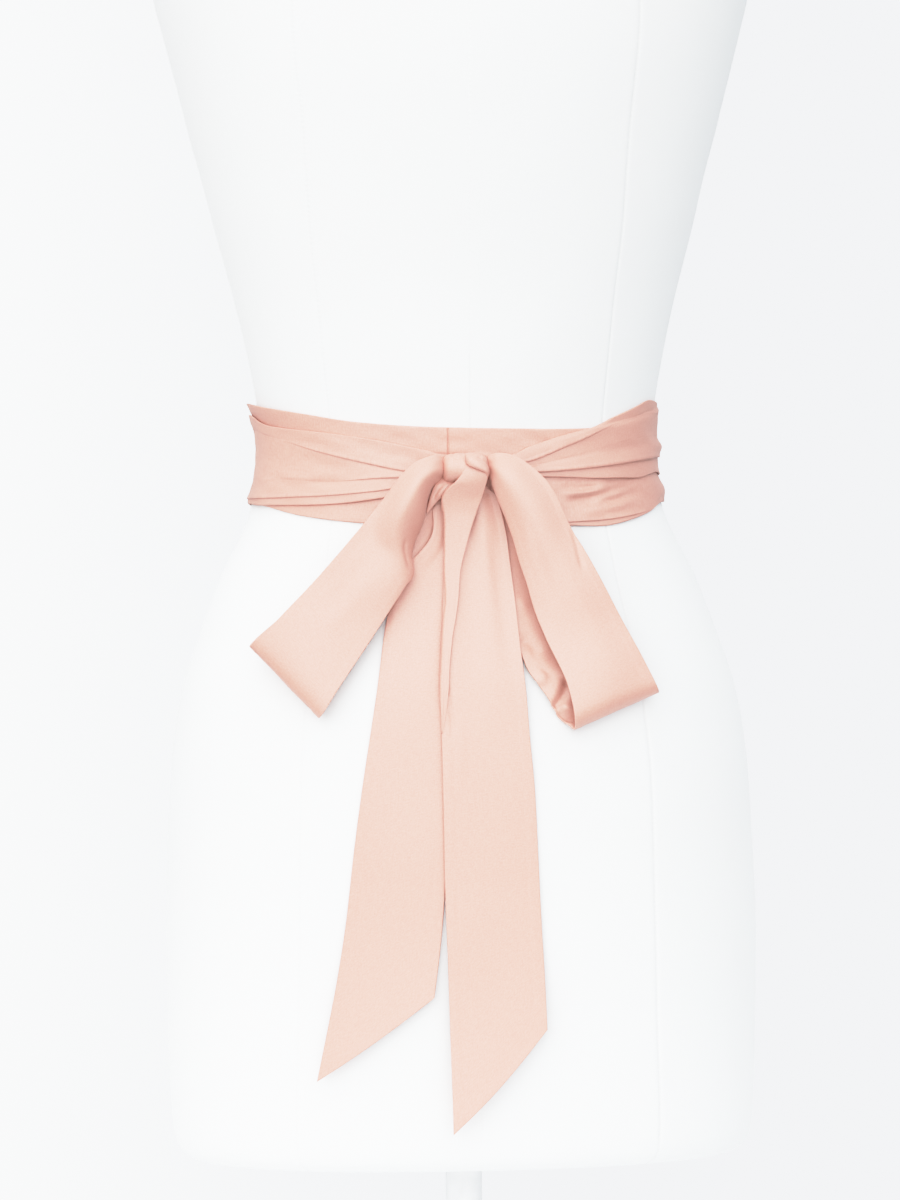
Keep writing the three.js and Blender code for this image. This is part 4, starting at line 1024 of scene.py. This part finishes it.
def makeKnot():
    g = knot
    turn = roundTurns(g["sides"])
    w = np.sin(np.linspace(-0.5, 0.5, g["rows"]) * np.pi * g["open"])[:, None]
    shrink = (1 - np.abs(w) ** g["endPower"]) ** (1 / g["endPower"])
    relief = sum(depth * bell(w - place - lean * np.sin(turn), width)
                 for place, depth, width, lean in g["folds"])

    def shell(inward):
        size = np.maximum(shrink * (1 - relief) - inward / g["halfHeight"], g["least"])
        return np.stack([g["x"] + (g["halfWidth"] - inward) * w + 0 * turn,
                         -g["out"] - g["halfDepth"] * size * np.cos(turn),
                         waistHeight + g["rise"] + g["halfHeight"] * size * np.sin(turn)], -1)

    rows, sides = g["rows"], g["sides"]
    index = numberGrid(rows, sides)
    back = index + rows * sides
    nextOne, nextBack = np.roll(index, -1, 1), np.roll(back, -1, 1)
    outside = tubeQuads(rows, sides)
    quads = [outside, outside[:, [0, 3, 2, 1]] + rows * sides,
             np.stack([index[0], back[0], nextBack[0], nextOne[0]], -1),
             np.stack([index[-1], nextOne[-1], nextBack[-1], back[-1]], -1)]
    places = np.stack(np.broadcast_arrays(w * g["halfWidth"], turn * g["weaveRadius"], 0.0), -1)
    return makeMesh("knotBand", np.concatenate([shell(0), shell(g["thickness"])]), np.concatenate(quads),
                    blushSatin, np.concatenate([places, places]))


knotBand = makeKnot()
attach(knotBand, "root")
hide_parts("knot")

# The fold of the band's lower edge that comes out on the left and goes under the loop
tuckTable = columns("along outerX outerRise outerOut innerX innerRise innerOut crown skew curl", [
    [0, -20, -13.5, 102, -11.5, -16.5, 104, 0.4], [4, -22.6, -17.6, 103.4, -13.8, -20.4, 105.4, 0.9],
    [8, -24.6, -21, 103.4, -17, -23.6, 104.8, 1.1], [13, -26.2, -25.8, 102.8, -20.8, -27.2, 103.4, 0.9],
    [18, -27.4, -30.6, 101.8, -24.6, -31.3, 102, 0.5],
    [23, -28.6, -35.4, 100.8, -28.1, -35.9, 100.8, 0.1],
], plain=(1, 0.05))
tuckCloth = {
    "thickness": 0.8, "spacing": 0.8, "curlRadius": 1.2, "width": 12, "ripple": (9, 0.1, 61), "creases": [
        crease([(0.5, 4.6), (9, 4.9), (17, 5.4)], 0.8, 1.2),
        crease([(1, 8.4), (8, 8.2), (15, 7.4)], -0.7, 1.5),
    ]}
# The lip folded at the knot's upper right
lipTable = columns("along outerX outerRise outerOut innerX innerRise innerOut crown skew curl", [
    [0, -5.4, -0.2, 111, -4.6, -4.6, 113, 0.3], [3, -3.4, -1.2, 112.6, -3, -6.4, 115, 0.9],
    [7, 0.2, -2.4, 113.2, 0.6, -7.7, 115.8, 1.1], [11, 3.6, -4.1, 113.2, 4, -9.1, 115.8, 1],
    [15, 7, -6.6, 112.4, 7, -10.3, 115, 0.9], [18, 8.8, -9.2, 111, 8, -12, 113.4, 0.6],
    [21, 8.9, -13, 109, 7.6, -14.4, 111, 0.3],
], plain=(1, 2.2))
lipCloth = {"thickness": 0.8, "spacing": 0.7, "curlRadius": 0.9, "width": 8, "ripple": (7, 0.08, 63)}
smallFolds = [makeRibbon("knotTuck", tuckTable, tuckCloth), makeRibbon("knotLip", lipTable, lipCloth)]
for fold in smallFolds:
    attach(fold, "root")
print("knot made")

# The floor is clear at its rim, so that it has no edge in the picture
floorDisc = {
    "radius": 900, "drop": 0.3, "rings": 24, "sides": 96, "colour": (0.9, 0.905, 0.91, 1), "roughness": 0.9,
    "clearReach": (0.35, 0.88),
}


def makeStage():
    g = floorDisc
    reach = g["radius"] * np.linspace(0.001, 1, g["rings"])[:, None]
    turn = roundTurns(g["sides"])
    grid = np.stack([reach * np.sin(turn), reach * np.cos(turn), 0 * reach * turn - g["drop"]], -1)
    material, tree, surface = newMaterial("paleFloor", {
        "Base Color": g["colour"], "Roughness": g["roughness"]})
    place = addNode(tree, "ShaderNodeTexCoord").outputs["Object"]
    away = addNode(tree, "ShaderNodeVectorMath", {0: place}, operation="LENGTH").outputs["Value"]
    tree.links.new(rangeMap(tree, away, *g["clearReach"], 1.0, 0.0), surface.inputs["Alpha"])
    floor = makeMesh("floor", grid, tubeQuads(g["rings"], g["sides"]), material)


keyLight = {
    "place": (-1.3, -3.0, 2.0), "aim": (0, 0, 0.55), "size": 1.8, "power": 12, "colour": (1, 0.995, 0.98),
}


def makeLight():
    g = keyLight
    lamp = bpy.data.lights.new("key", "AREA")
    lamp.shape = "DISK"
    lamp.size, lamp.energy, lamp.color = g["size"], g["power"], g["colour"]
    light = bpy.data.objects.new("key", lamp)
    bpy.context.scene.collection.objects.link(light)
    turned = (Vector(g["place"]) - Vector(g["aim"])).to_track_quat("Z", "Y")
    light.matrix_world = Matrix.Translation(g["place"]) @ turned.to_matrix().to_4x4()


# What is seen behind the form, what lights it, and what is mirrored in the satin.
# Most of the light comes from the front. A reach is where one colour gives way to the next.
world = {
    "towardsLight": (-0.33, -0.81, 0.48), "towardsGlow": (0.2, -0.85, 0.48),
    "belowReach": (-0.05, -0.6), "behindReach": (0.2, 0.9),
    "seenLeft": (1.85, 1.9, 1.88, 1), "seenRight": (1.3, 1.34, 1.4, 1), "seenReach": (-0.13, 0.13),
    "litLeft": (0.75, 0.77, 0.77, 1), "litRight": (0.46, 0.52, 0.58, 1), "litReach": (-0.9, 0.9),
    "litAbove": (2.1, 2.2, 2.26, 1), "litAboveReach": (0.1, 0.8), "litBelow": (0.34, 0.35, 0.36, 1),
    "litFront": (2.9, 2.88, 2.84, 1), "litFrontReach": (0.3, 0.95),
    "glossLeft": (1.4, 1.4, 1.4, 1), "glossRight": (0.3, 0.3, 0.3, 1), "glossReach": (-0.5, 0.6),
    "glossFront": (4, 4, 3.96, 1), "glossFrontReach": (0.4, 0.97),
    "glossBelow": (0.4, 0.38, 0.37, 1), "glossBehind": (0.6, 0.6, 0.6, 1),
}


def makeWorld():
    g = world
    made = bpy.data.worlds.new("softRoom")
    bpy.context.scene.world = made
    made.use_nodes = True
    made.cycles.sampling_method = "NONE"
    tree = made.node_tree
    tree.nodes.clear()
    place = addNode(tree, "ShaderNodeTexCoord").outputs["Generated"]
    x, y, z = splitVector(tree, place)

    def facing(direction):
        return addNode(tree, "ShaderNodeVectorMath", {0: place, 1: g[direction]},
                       operation="DOT_PRODUCT").outputs["Value"]

    def blend(value, reach, first, second):
        return mixColours(tree, rangeMap(tree, value, *g[reach]), first, second)

    seen = blend(x, "seenReach", g["seenLeft"], g["seenRight"])
    lit = blend(x, "litReach", g["litLeft"], g["litRight"])
    lit = blend(z, "belowReach", lit, g["litBelow"])
    lit = blend(z, "litAboveReach", lit, g["litAbove"])
    lit = blend(facing("towardsLight"), "litFrontReach", lit, g["litFront"])
    gloss = blend(x, "glossReach", g["glossLeft"], g["glossRight"])
    gloss = blend(y, "behindReach", gloss, g["glossBehind"])
    gloss = blend(z, "belowReach", gloss, g["glossBelow"])
    gloss = blend(facing("towardsGlow"), "glossFrontReach", gloss, g["glossFront"])
    rays = addNode(tree, "ShaderNodeLightPath").outputs
    colour = mixColours(tree, rays["Is Glossy Ray"], lit, gloss)
    colour = mixColours(tree, rays["Is Camera Ray"], colour, seen)
    shade = addNode(tree, "ShaderNodeBackground", {"Color": colour})
    addNode(tree, "ShaderNodeOutputWorld", {"Surface": shade.outputs[0]})


# The photograph's view: from the bow side, a little to the left, level with the hips
view = {
    "distance": 2.766, "azimuth": 5.5, "height": 0.511, "offset": 0.00495, "roll": 0.6,
    "lens": 130.7, "sensor": 36, "farthest": 50,
}


def makeCamera():
    g = view
    turn = math.radians(g["azimuth"])
    camera = bpy.data.objects.new("camera", bpy.data.cameras.new("camera"))
    bpy.context.scene.collection.objects.link(camera)
    camera.data.lens, camera.data.sensor_width, camera.data.clip_end = g["lens"], g["sensor"], g["farthest"]
    x = -g["distance"] * math.sin(turn) - g["offset"] * math.cos(turn)
    y = -g["distance"] * math.cos(turn) + g["offset"] * math.sin(turn)
    camera.matrix_world = (Matrix.Translation((x, y, g["height"])) @ Matrix.Rotation(-turn, 4, "Z")
                           @ Matrix.Rotation(math.pi / 2, 4, "X")
                           @ Matrix.Rotation(math.radians(-g["roll"]), 4, "Z"))
    bpy.context.scene.camera = camera


# The picture's tones: even up to the middle ones, and the brightest drawn in below white
toneCurve = {
    "brightest": 2,
    "points": [(0, 0), (0.1, 0.2), (0.215, 0.425), (0.345, 0.665), (0.415, 0.75),
               (0.55, 0.85), (0.705, 0.915), (0.85, 0.955), (1, 0.975)],
}


def setTones():
    settings = bpy.context.scene.view_settings
    settings.view_transform = "Standard"
    settings.use_curve_mapping = True
    mapping = settings.curve_mapping
    mapping.white_level = [toneCurve["brightest"]] * 3
    curve = mapping.curves[3]
    for place, value in toneCurve["points"][1:-1]:
        curve.points.new(place, value)
    curve.points[0].location, curve.points[-1].location = toneCurve["points"][0], toneCurve["points"][-1]
    mapping.update()


makeStage()
makeLight()
makeWorld()
makeCamera()
setTones()
print("stage made")
